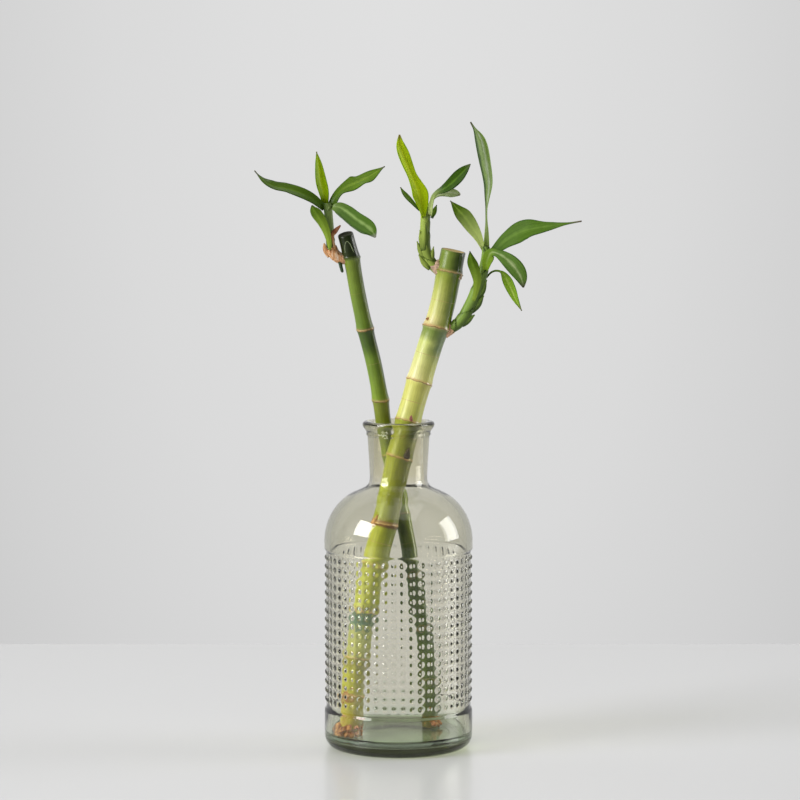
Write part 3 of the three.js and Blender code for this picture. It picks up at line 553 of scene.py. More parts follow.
def vase_profile():
    """The vase from the middle of its underside, up the outside and down the inside."""
    reach = BODY_RADIUS - SHOULDER_TOP_RADIUS
    inside = INNER_RADIUS - SHOULDER_TOP_RADIUS
    heel = BODY_RADIUS - FOOT_RADIUS
    steps = STUD_ROWS * STUD_STEPS
    return [
        *flowing(FOOT_HOLLOW, 12),
        (30, 0),
        *arc(FOOT_RADIUS, HEEL_HEIGHT, heel, HEEL_HEIGHT, -90, 0, 10),
        (BODY_RADIUS, 13),
        *flowing(STEP_BELOW_BAND, 10),
        *[(BAND_RADIUS, BAND_FIRST_STUD + STUD_PITCH * i / STUD_STEPS) for i in range(steps + 1)],
        *flowing(STEP_ABOVE_BAND, 10),
        *arc(SHOULDER_TOP_RADIUS, SHOULDER_FOOT, reach, SHOULDER_HEIGHT, 0, 66, 22),
        *flowing(NECK_AND_RIM, 72),
        (NECK_BORE, 150),
        *flowing(NECK_INSIDE, 24),
        *arc(SHOULDER_TOP_RADIUS, SHOULDER_FOOT, inside, SHOULDER_HEIGHT - GLASS_WALL, 60, 0, 20),
        (INNER_RADIUS, 60),
        *arc(INNER_RADIUS - INNER_HEEL, INNER_FLOOR + INNER_HEEL, INNER_HEEL, INNER_HEEL,
             0, -90, 8),
        (15, 5.1),
        (0, 5.4),
    ]


def squeezed(place):
    """Moves a place in a row of studs towards the nearest stud, so that it has more faces."""
    middle = round(place)
    away = abs(place - middle)
    last = 0.5 - 1 / STUD_STEPS
    reach = last * STUD_SQUEEZE
    if away > last:
        near = reach + (away - last) * (0.5 - reach) / (0.5 - last)
    else:
        near = away * STUD_SQUEEZE
    return middle + math.copysign(near, place - middle)


def thin_out(bm):
    """Takes out every second upright line of the glass outside the band, where it is plain."""
    low, high = BAND_FIRST_STUD, BAND_FIRST_STUD + STUD_ROWS * STUD_PITCH
    plain, second = set(), set()
    for vert in bm.verts:
        radius = math.hypot(vert.co.x, vert.co.y)
        column = math.atan2(vert.co.y, vert.co.x) / (2 * math.pi) * STUD_COLUMNS * STUD_STEPS
        if round(column) % 2 or radius < 0.01:
            second.add(vert)
        if abs(radius - BAND_RADIUS) > 0.02 or not low - 0.01 < vert.co.z < high + 0.01:
            plain.add(vert)
    spare = [edge for edge in bm.edges
             if second.issuperset(edge.verts) and not plain.isdisjoint(edge.verts)]
    bmesh.ops.dissolve_edges(bm, edges=spare, use_verts=True)


def raise_studs(bm):
    """Raises a low rounded stud in each cell of the band, flush with the body."""
    low, high = BAND_FIRST_STUD, BAND_FIRST_STUD + STUD_ROWS * STUD_PITCH
    for vert in bm.verts:
        radius = math.hypot(vert.co.x, vert.co.y)
        column = squeezed(math.atan2(vert.co.y, vert.co.x) / (2 * math.pi) * STUD_COLUMNS)
        angle = column / STUD_COLUMNS * 2 * math.pi
        if abs(radius - BAND_RADIUS) < 0.02 and low < vert.co.z < high:
            row = squeezed((vert.co.z - low) / STUD_PITCH - 0.5)
            vert.co.z = low + (row + 0.5) * STUD_PITCH
            across, up = abs(column - round(column)), abs(row - round(row))
            away = (across ** 3 + up ** 3) ** (1 / 3) / STUD_REACH
            radius += STUD_HEIGHT * (1 + math.cos(math.pi * min(away, 1))) / 2
        vert.co.x = radius * math.cos(angle)
        vert.co.y = radius * math.sin(angle)


def make_vase():
    """The vase as one shell of glass, with its studs."""
    bm = bmesh.new()
    spun(bm, vase_profile(), STUD_COLUMNS * STUD_STEPS)
    thin_out(bm)
    raise_studs(bm)
    finish_piece("vase", bm, moulded_glass(), "vase_glass")


def make_water():
    """The water reaches a hair into the glass, so that no air shows between them."""
    round_heel = INNER_HEEL + GLASS_OVERLAP
    rim = [(INNER_RADIUS - inward, WATER_LEVEL + climb) for inward, climb in WATER_RIM]
    profile = [(0, INNER_FLOOR + 0.34), (15, INNER_FLOOR + 0.04),
               *arc(INNER_RADIUS - INNER_HEEL, INNER_FLOOR + INNER_HEEL, round_heel, round_heel,
                    -90, 0, 8),
               *rim, (0, WATER_LEVEL)]
    bm = bmesh.new()
    spun(bm, profile, WATER_STEPS)
    finish_piece("water", bm, still_water(), "water")


def cane_skin(name, lit, shaded, scar, fleck, cut):
    """Living cane: a smooth waxy skin with fine fibres. Each length between two nodes has its own
    green, given from foot to top for the left and the right side, with painted light mostly on the
    left and painted shade mostly on the right, and each node a tan scar. cut gives the colours of
    the cut end from its edge to its pith."""
    material, tree, shader = new_material(name)
    skin, gap, strength, end = [
        add_node(tree, "Attribute", {"attribute_name": kind})
        for kind in ("skin", "node_gap", "scar_strength", "cut_end")]
    place, strength, end = skin.outputs["Vector"], strength.outputs["Fac"], end.outputs["Fac"]
    parts = add_node(tree, "SeparateXYZ", links={"Vector": place})
    cloud = add_node(tree, "TexNoise", {"Scale": 0.16, "Detail": 3}, {"Vector": place})
    stretch = add_node(tree, "Mapping", {"Scale": (1, 1, 0.06)}, {"Vector": place})
    # Real fibres are finer than 0.3 mm. These are 0.6 mm wide, to show, and 10 mm long.
    fibres = add_node(tree, "TexNoise", {"Scale": 1.6, "Detail": 4}, {"Vector": stretch})
    # Low in the vase the skin is blotched, so the borders of its colours wander.
    uneven = add_node(tree, "MapRange",
                      {"From Min": 75, "From Max": 100, "To Min": 20, "To Max": 0},
                      {"Value": parts.outputs["Z"]})
    blotch = add_node(tree, "TexNoise", {"Scale": 0.55, "Detail": 3}, {"Vector": place})
    aside = add_node(tree, "Math", {"operation": "SUBTRACT", 1: 0.5}, {0: blotch})
    height = add_node(tree, "Math", {"operation": "MULTIPLY_ADD"},
                      {0: aside, 1: uneven, 2: parts.outputs["Z"]})
    share = add_node(tree, "MapRange", {"From Min": 0, "From Max": CANE_SPAN}, {"Value": height})
    # Painted light and shade: the lit ramp colours the left side and the shaded ramp the right
    # side.
    left, right = [add_node(tree, "ValToRGB",
                            {"stops": [(at / CANE_SPAN, colour) for at, colour in stops]},
                            {"Fac": share}) for stops in (lit, shaded)]
    # Across the cane the colour turns from the painted light on the left to the painted shade on
    # the right.
    wander = add_node(tree, "Math", {"operation": "MULTIPLY_ADD", 1: 5.0},
                      {0: cloud, 2: parts.outputs["X"]})
    turn = add_node(tree, "MapRange",
                    {"interpolation_type": "SMOOTHSTEP", "From Min": -1.0, "From Max": 6.5},
                    {"Value": wander})
    lit_and_shaded_greens = add_node(tree, "Mix", {"data_type": "RGBA"}, {0: turn, 6: left, 7: right})
    streaked = varied(tree, lit_and_shaded_greens, fibres, (0.35, 0.7), (0.86, 1.12))
    # The scar is a thin brown line with a tan band above it, patchy round the cane.
    patch = add_node(tree, "TexNoise", {"Scale": 0.5, "Detail": 3}, {"Vector": place})
    shift = add_node(tree, "Math", {"operation": "MULTIPLY_ADD", 1: 1.6, 2: -0.8}, {0: patch})
    away = add_node(tree, "Math", {"operation": "ADD"}, {0: gap.outputs["Fac"], 1: shift})
    band = add_node(tree, "MapRange", {"From Min": -5, "From Max": 5}, {"Value": away})
    tan = add_node(tree, "ValToRGB",
                   {"stops": [(0.42, 0.0), (0.455, 1.0), (0.52, 1.0), (0.56, 0.25), (0.64, 0.0)]},
                   {"Fac": band})
    worn = add_node(tree, "MapRange",
                    {"From Min": 0.35, "From Max": 0.55, "To Min": 0.35, "To Max": 1},
                    {"Value": patch})
    kept = add_node(tree, "Math", {"operation": "MULTIPLY"}, {0: worn, 1: strength})
    much = add_node(tree, "Math", {"operation": "MULTIPLY"}, {0: tan, 1: kept})
    scarred = add_node(tree, "Mix", {"data_type": "RGBA", 7: scar}, {0: much, 6: streaked})
    line = add_node(tree, "ValToRGB",
                    {"stops": [(0.425, 0.0), (0.44, 0.9), (0.46, 0.9), (0.475, 0.0)]},
                    {"Fac": band})
    thin = add_node(tree, "Math", {"operation": "MULTIPLY"}, {0: line, 1: strength})
    lined = add_node(tree, "Mix", {"data_type": "RGBA", 7: fleck}, {0: thin, 6: scarred})
    sawn = add_node(tree, "ValToRGB", {"stops": list(zip((0.2, 0.5, 1.0), cut))}, {"Fac": end})
    at_end = add_node(tree, "MapRange", {"From Min": 0.05, "From Max": 0.3}, {"Value": end})
    ended = add_node(tree, "Mix", {"data_type": "RGBA"}, {0: at_end, 6: lined, 7: sawn})
    dull = add_node(tree, "MapRange", {"To Min": 0.32, "To Max": 0.9}, {"Value": at_end})
    # The bloom of wax is rubbed off on the right, where the skin shines.
    rubbed = add_node(tree, "MapRange",
                      {"From Min": 0.5, "From Max": 3, "To Min": 0.1, "To Max": 1},
                      {"Value": parts.outputs["X"]})
    uncut = add_node(tree, "MapRange", {"To Min": 1, "To Max": 0}, {"Value": at_end})
    waxed = add_node(tree, "Math", {"operation": "MULTIPLY"}, {0: rubbed, 1: uncut})
    bump = add_node(tree, "Bump", {"Strength": 0.2, "Distance": 0.0002}, {"Height": fibres})
    fill_node(tree, shader, {"Specular IOR Level": 0.3, "Coat Roughness": 0.1},
              {"Base Color": ended, "Roughness": dull, "Coat Weight": waxed, "Normal": bump})
    return material


def make_cane(name, cane, material, seed):
    """A cane bent along its line, swollen at each node, with a fresh cut at its top."""
    draws = random.Random(seed)
    curve = Curve(cane["line"])
    heights = {cane["top"], cane["top"] - 0.4, cane["foot"], cane["foot"] + 0.5}
    steady = cane["foot"] + 2
    while steady < cane["top"] - 2:
        heights.add(steady)
        steady += RING_SPACING
    for node, _, _ in cane["nodes"]:
        heights = {h for h in heights if abs(h - node) > NODE_CLEARANCE}
        heights.update(node + away for away, _ in NODE_SHAPE)
    heights = sorted(h for h in heights if cane["foot"] <= h <= cane["top"])
    shares = [curve.share_at_height(h) for h in heights]
    frames = [curve.frame(t) for t in shares]
    sway = [(draws.uniform(0.3, 0.8), draws.uniform(0, 6)) for _ in cane["nodes"]]

    def swelling(height, angle):
        total = 0
        for (node, ring, _), (reach, turn) in zip(cane["nodes"], sway):
            away = height - node + reach * math.sin(angle + turn)
            total += NODE_SWELL * max(0, 1 - abs(away) / NODE_SWELL_REACH)
            if NODE_SHAPE[0][0] < away < NODE_SHAPE[-1][0]:
                after = next(i for i, (place, _) in enumerate(NODE_SHAPE) if place >= away)
                (a, low), (b, high) = NODE_SHAPE[after - 1:after + 1]
                total += ring * (low + (high - low) * (away - a) / (b - a))
        return total

    bm = upright_tube(len(heights), CANE_SIDES)
    skin = bm.verts.layers.float_vector.new("skin")
    gap = bm.verts.layers.float.new("node_gap")
    strength = bm.verts.layers.float.new("scar_strength")
    cut_end = bm.verts.layers.float.new("cut_end")

    def place(ring, angle, vert):
        height = heights[ring]
        point, tangent, front, side = frames[ring]
        share = (height - cane["foot"]) / (cane["top"] - cane["foot"])
        base = cane["foot_radius"] + (cane["radius"] - cane["foot_radius"]) * min(share * 3, 1)
        radius = base + swelling(height, angle)
        if ring in (0, len(heights) - 1):
            radius -= CUT_ROUNDING
        vert[skin] = (-base * math.cos(angle), base * math.sin(angle), height)
        near = [(height - node + reach * math.sin(angle + turn), scar)
                for (node, _, scar), (reach, turn) in zip(cane["nodes"], sway)]
        vert[gap], vert[strength] = min(near, key=lambda pair: abs(pair[0]))
        # The cut leans to the front.
        lean = tangent * (math.sin(angle) * CUT_LEAN) if ring > len(heights) - 3 else Vector()
        return (point + side * (math.cos(angle) * radius) + front * (math.sin(angle) * radius)
                + lean)

    bend(bm, place)
    for end in [face for face in bm.faces if len(face.verts) == CANE_SIDES]:
        for step in (1, 2):
            bmesh.ops.inset_individual(bm, faces=[end], thickness=CUT_RIM * step, depth=-0.1)
            for vert in end.verts:
                vert[cut_end] = step / 2
    finish_piece(name, bm, material, name)


def bud_skin():
    """Dry bud scales: papery, rust to tan, each bud in its own colour."""
    material, tree, shader = new_material("dry_bud_scale")
    own = add_node(tree, "Attribute", {"attribute_name": "bud_colour"})
    place = add_node(tree, "TexCoord")
    # Flecks of about 1 mm
    noise = add_node(tree, "TexNoise", {"Scale": 900, "Detail": 3},
                     {"Vector": place.outputs["Object"]})
    mottled = varied(tree, own.outputs["Color"], noise, (0.35, 0.65), (0.7, 1.25))
    bump = add_node(tree, "Bump", {"Strength": 0.4, "Distance": 0.0002}, {"Height": noise})
    fill_node(tree, shader, {"Roughness": 0.6}, {"Base Color": mottled, "Normal": bump})
    return material


def shaped_bud(at, towards, length, radius):
    """A pointed bud, a little flattened against the skin."""
    bud = upright_tube(BUD_RINGS, BUD_SIDES)
    axis = Vector(towards).normalized()
    front = (FRONT - axis * FRONT.dot(axis)).normalized()
    side = axis.cross(front)

    def place(ring, angle, vert):
        share = ring / (BUD_RINGS - 1)
        reach = radius * eased(BUD_SHAPE, share)
        return (Vector(at) + axis * (share * length - radius) + side * (reach * math.cos(angle))
                + front * (reach * BUD_FLATNESS * math.sin(angle)))

    bend(bud, place)
    return bud


def torn_collar(line, radii):
    """Scar tissue with a ragged edge round the foot of a shoot."""
    collar = upright_tube(BUD_RINGS, WRAP_SIDES)
    curve = Curve(line)

    def place(ring, angle, vert):
        t = ring / (BUD_RINGS - 1)
        ragged = 0.16 * math.sin(5 * angle + 2) + 0.1 * math.sin(9 * angle)
        reach = along(radii, t) + ragged - (0.5 if ring == BUD_RINGS - 1 else 0)
        return curve.around(t + 0.14 * math.sin(3 * angle) * t, angle, reach)

    bend(collar, place)
    return collar


def leaf_scar():
    """The thin raised loop that a leaf left on the top length of the thin cane."""
    line = Curve(THIN["line"])
    reach = THIN["radius"] + 0.1
    points = [line.around(line.share_at_height(height), math.pi / 2 + turn, reach)
              for height, turn in LEAF_SCAR]
    return rod(points, LEAF_SCAR_RADIUS, LEAF_SCAR_RADIUS, 40, 8)


def make_buds():
    """Buds at the nodes, scar tissue round the shoots, the leaf scar and the stub."""
    pieces = [(shaped_bud(*shape), colour) for *shape, colour in BUDS]
    pieces += [(torn_collar(line, radii), colour) for line, radii, colour in COLLARS]
    pieces += [(leaf_scar(), LEAF_SCAR_COLOUR), (rod(STUB, 1, 0.8), STUB_COLOUR)]
    bm = bmesh.new()
    for piece, colour in pieces:
        tint = piece.verts.layers.float_vector.new("bud_colour")
        for vert in piece.verts:
            vert[tint] = linear(colour)[:3]
        join(bm, piece)
    finish_piece("cane_buds", bm, bud_skin(), "husk", replaces=False)


def root_skin():
    """Young roots and torn bark at the foot of a cane: orange to brown, wet."""
    material, tree, shader = new_material("wet_orange_root")
    place = add_node(tree, "TexCoord")
    # Patches of 2 to 3 mm, about the length of one root
    noise = add_node(tree, "TexNoise", {"Scale": 420, "Detail": 3},
                     {"Vector": place.outputs["Object"]})
    ramp = add_node(tree, "ValToRGB",
                    {"stops": [(0.3, "#5e3416"), (0.45, "#9a5c2a"), (0.6, "#c98f50"),
                               (0.8, "#dcb880")]}, {"Fac": noise})
    fill_node(tree, shader, {"Roughness": 0.45}, {"Base Color": ramp})
    return material


def kept_in_vase(point, radius):
    """The point, moved in and up where a root of a radius would touch the glass."""
    out = math.hypot(point.x, point.y)
    squeeze = min(1, (INNER_RADIUS - ROOT_CLEARANCE - radius) / out)
    low = INNER_FLOOR + ROOT_CLEARANCE + radius + max(0, out - 31) * 0.5
    return Vector((point.x * squeeze, point.y * squeeze, max(point.z, low)))


def make_roots():
    """A collar of short stubby roots round the foot of each cane, inside the vase."""
    draws = random.Random(4)
    bm = bmesh.new()
    for cane, count, length, reach_up, lean in ROOTS:
        curve = Curve(cane["line"])
        for i in range(count):
            angle = (i + draws.uniform(0, 0.8)) * ROOT_TURN
            height = cane["foot"] + draws.uniform(0.8, reach_up)
            point, _, front, side = curve.frame(curve.share_at_height(height))
            out = side * math.cos(angle) + front * math.sin(angle)
            thick = draws.uniform(*ROOT_RADII) * (1 + 0.3 * lean * out.x)
            reach = length * draws.uniform(0.45, 1) * (1.1 + lean * out.x)
            start = point + out * (cane["foot_radius"] - 0.7)
            droop = Vector((0, 0, -1)) * draws.uniform(0.3, 1.1)
            bent = (out + droop).normalized()
            points = [start, start + out * reach * 0.4, start + (out * 0.4 + bent * 0.35) * reach,
                      start + (out * 0.5 + bent * 0.7) * reach]
            kept = [kept_in_vase(p, thick) for p in points]
            join(bm, rod(kept, thick, thick * 0.8, 8, 8))
    finish_piece("cane_roots", bm, root_skin(), "husk", replaces=False)


def stem_skin(name, light, dark, shade_side=1):
    """Leaf sheaths round a young stem: waxy, with close ribs along it, with painted shade towards
    each foot, just above the mouth of the sheath below, and on the right, or on the left where
    shade_side is -1."""
    material, tree, shader = new_material(name)
    place = add_node(tree, "Attribute", {"attribute_name": "skin"}).outputs["Vector"]
    parts = add_node(tree, "SeparateXYZ", links={"Vector": place})
    # Ribs 0.3 mm wide and 6 mm long
    ribs = add_node(tree, "Mapping", {"Scale": (1, 1, 0.05)}, {"Vector": place})
    noise = add_node(tree, "TexNoise", {"Scale": 3.2, "Detail": 3}, {"Vector": ribs})
    sheath = add_node(tree, "Attribute", {"attribute_name": "sheath"})
    fade = add_node(tree, "Math", {"operation": "MULTIPLY_ADD", 1: 0.55},
                    {0: noise, 2: sheath.outputs["Fac"]})
    # Painted shade: dark low on each sheath, just above the mouth of the one below.
    ramp = add_node(tree, "ValToRGB",
                    {"stops": [(0.22, dark), (0.5, light), (0.9, light), (1.0, dark)]},
                    {"Fac": fade})
    # Painted shade on the right side, or on the left where shade_side is -1.
    side_shade_share = add_node(tree, "MapRange",
                      {"interpolation_type": "SMOOTHSTEP", "From Min": -0.6 * shade_side,
                       "From Max": 2.2 * shade_side, "To Max": 0.8},
                      {"Value": parts.outputs["X"]})
    side_shaded = add_node(tree, "Mix", {"data_type": "RGBA", 7: dark}, {0: side_shade_share, 6: ramp})
    bump = add_node(tree, "Bump", {"Strength": 0.2, "Distance": 0.0001}, {"Height": noise})
    fill_node(tree, shader, {"Roughness": 0.38, "Specular IOR Level": 0.2},
              {"Base Color": side_shaded, "Normal": bump})
    return material


def make_stem(name, stem, material):
    """Leaf sheaths that wrap the stem one over the next, each open at a slanting mouth."""
    curve = Curve(stem["line"])
    count = stem["sheaths"]
    bm = bmesh.new()
    for k in range(count + 1):
        wrap = upright_tube(WRAP_RINGS, WRAP_SIDES)
        skin = wrap.verts.layers.float_vector.new("skin")
        sheath = wrap.verts.layers.float.new("sheath")
        start = max(k + SHEATH_START, 0) / count
        end = min((k + SHEATH_END) / count, 1)
        tip_turn = MOUTH_TURN if k % 2 else math.pi - MOUTH_TURN

        def place(ring, angle, vert):
            share = ring / (WRAP_RINGS - 1)
            away = abs((angle - tip_turn + math.pi) % (2 * math.pi) - math.pi) / math.pi
            peak = 0 if k == count else (MOUTH_RISE * (1 - away) ** 1.6 - MOUTH_DROP) / count
            t = min(max(start + (end - start) * share + peak * share ** 2, 0), 1)
            flare = 0.3 * share ** 5 * (1 - away) ** 2
            radius = along(stem["radii"], t) - 0.2 + 0.3 * share + flare
            vert[skin] = (radius * math.cos(angle), radius * math.sin(angle),
                          t * PATTERN_LENGTH + k * PATTERN_STEP)
            vert[sheath] = share * 0.7
            return curve.around(t, angle, radius)

        bend(wrap, place)
        join(bm, wrap)
    for line, width in stem["scales"]:
        join(bm, small_blade(line, width))
    finish_piece(name, bm, material, "stem")


def leaf_half_width(leaf, t):
    """Half the width of a blade at share t, as in its solid."""
    def quarter_turn(start, end):
        return max(t - start, 0) / (end - start) * math.pi / 2

    if "shape" in leaf:
        share = eased(leaf["shape"], t)
    elif t < leaf["belly"]:
        swell = math.sin(quarter_turn(leaf["stalk"], leaf["belly"])) ** 1.4
        share = leaf["foot"] + (1 - leaf["foot"]) * swell
    else:
        share = max(math.cos(quarter_turn(leaf["belly"], 1)), 0) ** leaf["taper"]
    return max(share * leaf["width"], LEAST_WIDTH) / 2


def leaf_place(leaf, curve, t, v):
    """A point of a blade at share t along it and -1 to 1 across it, and half its width there. Its
    foot sinks into what it grows from."""
    point, _, front, side = curve.frame(t)
    roll = math.radians(eased(leaf["roll"], t))
    normal = front * math.cos(roll) + side * math.sin(roll)
    across = side * math.cos(roll) - front * math.sin(roll)
    half = leaf_half_width(leaf, t)
    sink = FOOT_SINK * max(1 - t / FOOT_SHARE, 0) ** 2 * leaf.get("sunk", 1)
    phase = 0 if v > 0 else 2.1
    turns = math.sin(2 * math.pi * leaf["waves"] * t + phase)
    wave = leaf["wave"] * v * v * turns * math.sin(math.pi * t)
    fold = leaf["fold"] * (math.sqrt(v * v + 0.01) - 0.5) * half
    return point - front * sink + across * (v * half) + normal * (fold + wave), half


def small_blade(line, width, **changes):
    """A small pointed scale that hugs what it grows on, dark at its foot and light at its tip."""
    blade = dict(width=width, foot=0.8, stalk=0, belly=0.35, taper=1, roll=[0, 0], fold=-0.35,
                 wave=0, waves=1, sunk=0.5)
    blade.update(changes)
    curve = Curve(line)
    bm = bmesh.new()
    skin = bm.verts.layers.float_vector.new("skin")
    sheath = bm.verts.layers.float.new("sheath")
    bmesh.ops.create_grid(bm, x_segments=SCALE_COLUMNS, y_segments=SCALE_ROWS, size=1)
    for vert in bm.verts:
        v, t = vert.co.x, (vert.co.y + 1) / 2
        vert[skin] = (v * width, 0, t * SCALE_PATTERN_LENGTH + line[0][2])
        vert[sheath] = 0.72 - 0.3 * t
        vert.co, _ = leaf_place(blade, curve, t, v)
    bmesh.ops.solidify(bm, geom=bm.faces, thickness=SCALE_THICKNESS)
    return bm


def make_leaf(name, leaf, material, slot):
    """A fine blade on the line of its solid, as a sheet with a thickness."""
    curve = Curve(leaf["spine"])
    length = sum((curve.point((i + 1) / 20) - curve.point(i / 20)).length for i in range(20))
    bm = bmesh.new()
    blade = bm.verts.layers.float_vector.new("blade")
    share = bm.verts.layers.float_vector.new("blade_share")
    bmesh.ops.create_grid(bm, x_segments=LEAF_COLUMNS, y_segments=LEAF_ROWS, size=1)
    for vert in bm.verts:
        v, t = vert.co.x, (vert.co.y + 1) / 2
        vert.co, half = leaf_place(leaf, curve, t, v)
        vert[blade] = (v * half, t * length, 0)
        vert[share] = (v, t, 0)
    finish_piece(name, bm, material, slot, LEAF_THICKNESS)


# Leaf colours: foot, blade, middle, edge and tip. Where they differ from the usual there follow
# how far up the foot's colour reaches, the roughness, the gloss and where across the middle lies.
# In the sheen schemes, for the drooping leaf and the tall right leaf, the pale middle is a painted
# sheen, set off to one side.
SCHEMES = {
    "deep": ("#3e5a10", "#4e6c12", "#60801e", "#36500a", "#56563c", 0.4),
    "glossy": ("#bccc80", "#304f02", "#4c7010", "#223e02", "#4c5a30", 0.5, 0.36, 0.08),
    "fresh": ("#5c7804", "#94b40c", "#b0c824", "#648804", "#6a6c34", 0.3, 0.36, 0.08),
    # The young scheme is bright partly as painted light, standing in for light shining through the
    # blade.
    "young": ("#94b004", "#b6d010", "#ccde24", "#8cb004", "#8a7c3c", 0.3, 0.4, 0.08),
    "green": ("#3c5810", "#60801c", "#7c9830", "#46660e", "#55583a", 0.4),
    "inner": ("#bcca78", "#5a7a14", "#8aa83c", "#46640c", "#5c5a3c", 0.8, 0.36, 0.08),
    "sheen": ("#6c8440", "#4c6e1c", "#88a458", "#365610", "#8a8c7c", 0.3, 0.3, 0.2, -0.15),
    "silver_sheen": ("#90a850", "#7e9c44", "#bccca4", "#3c5c14", "#5c5a40", 0.4, 0.4, 0.2, 0.3),
    "sheath": ("#94ac3c", "#567418", "#6c8c26", "#405e10", "#3c4e28", 0.75),
    "pale": ("#9aac60", "#a6b87c", "#c6d0a8", "#7f9058", "#8a8a64"),
    "matte": ("#2a4402", "#4e6e1e", "#62822e", "#40601c", "#6f6656", 0.2, 0.5, 0.08),
    "mottled": ("#84a424", "#58782e", "#9cae74", "#3a5a14", "#4a4a34", 0.42, 0.45, 0.08),
    "bright": ("#3c500c", "#86ac2c", "#aac458", "#5a821c", "#6a6c44", 0.42, 0.4, 0.08),
}
LEAF_SLOTS = {"deep": "leaf_deep", "fresh": "leaf_fresh", "young": "leaf_fresh",
              "sheath": "leaf_fresh", "bright": "leaf_fresh"}


def leaf_skin(name, foot, body, middle, edge, tip, foot_reach=0.3, roughness=0.32, gloss=0.12,
              middle_at=0):
    """A living leaf: waxy and glossy, with close parallel veins, a folded rib and a dry tip."""
    material, tree, shader = new_material(name)
    blade, share = [add_node(tree, "Attribute", {"attribute_name": kind}).outputs["Vector"]
                    for kind in ("blade", "blade_share")]
    parts = add_node(tree, "SeparateXYZ", links={"Vector": share})
    lanes = add_node(tree, "Mapping", {"Scale": (1, 0.035, 1)}, {"Vector": blade})
    # Real veins lie 0.3 mm apart. These lie 0.7 mm apart, to show.
    veins = add_node(tree, "TexNoise", {"Scale": 1.5, "Detail": 2}, {"Vector": lanes})
    broad = add_node(tree, "TexNoise", {"Scale": 0.22, "Detail": 2}, {"Vector": blade})
    # Pale along the middle; in the sheen schemes this is a painted sheen, moved across by
    # middle_at.
    off = add_node(tree, "Math", {"operation": "SUBTRACT", 1: middle_at},
                   {0: parts.outputs["X"]})
    out = add_node(tree, "Math", {"operation": "ABSOLUTE"}, {0: off})
    wander = add_node(tree, "Math", {"operation": "MULTIPLY_ADD", 1: 0.5, 2: -0.25}, {0: broad})
    reach = add_node(tree, "Math", {"operation": "ADD"}, {0: out, 1: wander})
    across = add_node(tree, "ValToRGB",
                      {"stops": [(0.0, middle), (0.3, body), (0.8, body), (1.0, edge)]},
                      {"Fac": reach})
    veined = varied(tree, across, veins, (0.3, 0.7), (0.85, 1.14))
    at_foot = add_node(tree, "MapRange",
                       {"From Min": 0.02, "From Max": foot_reach, "To Min": 1, "To Max": 0},
                       {"Value": parts.outputs["Y"]})
    footed = add_node(tree, "Mix", {"data_type": "RGBA", 7: foot}, {0: at_foot, 6: veined})
    at_tip = add_node(tree, "MapRange", {"From Min": 0.9, "From Max": 0.985},
                      {"Value": parts.outputs["Y"]})
    tipped = add_node(tree, "Mix", {"data_type": "RGBA", 7: tip}, {0: at_tip, 6: footed})
    bump = add_node(tree, "Bump", {"Strength": 0.1, "Distance": 0.0001}, {"Height": veins})
    fill_node(tree, shader, {"Roughness": roughness, "Specular IOR Level": gloss},
              {"Base Color": tipped, "Normal": bump})
    return material


def dry_husk():
    """A papery dead sheath: dull tan with rust streaks along it, and a rusty curled end."""
    material, tree, shader = new_material("dry_husk")
    place = add_node(tree, "TexCoord").outputs["Object"]
    # Streaks 0.9 mm wide and 4 mm long
    lanes = add_node(tree, "Mapping", {"Scale": (1400, 1400, 300)}, {"Vector": place})
    noise = add_node(tree, "TexNoise", {"Scale": 0.8, "Detail": 4}, {"Vector": lanes})
    ramp = add_node(tree, "ValToRGB",
                    {"stops": [(0.3, "#8a4e24"), (0.42, "#c28650"), (0.55, "#deac7c"),
                               (0.7, "#ecd4ba")]}, {"Fac": noise})
    parts = add_node(tree, "SeparateXYZ", links={"Vector": place})
    height = add_node(tree, "MapRange",
                      {"From Min": RUST_FROM * MM, "From Max": RUST_TO * MM, "To Max": 0.85},
                      {"Value": parts.outputs["Z"]})
    rusty = add_node(tree, "Mix", {"data_type": "RGBA", 7: "#84421c"}, {0: height, 6: ramp})
    bump = add_node(tree, "Bump", {"Strength": 0.6, "Distance": 0.0003}, {"Height": noise})
    fill_node(tree, shader, {"Roughness": 0.7}, {"Base Color": rusty, "Normal": bump})
    return material


def make_husk():
    """A sleeve round the foot of the left stem, and a strip of it that ends in a curled bract."""
    curve = Curve(HUSK_SLEEVE)
    bm = upright_tube(WRAP_RINGS, WRAP_SIDES)

    def place(ring, angle, vert):
        t = ring / (WRAP_RINGS - 1)
        ridges = 0.12 * math.sin(7 * angle) + 0.08 * math.sin(13 * angle + 4 * t)
        return curve.around(t, angle, along(HUSK_RADII, t) + ridges)

    bend(bm, place)
    for strip in (HUSK_STRIP, HUSK_LOBE):
        join(bm, small_blade(**strip))
    finish_piece("left_shoot_husk", bm, dry_husk(), "husk")


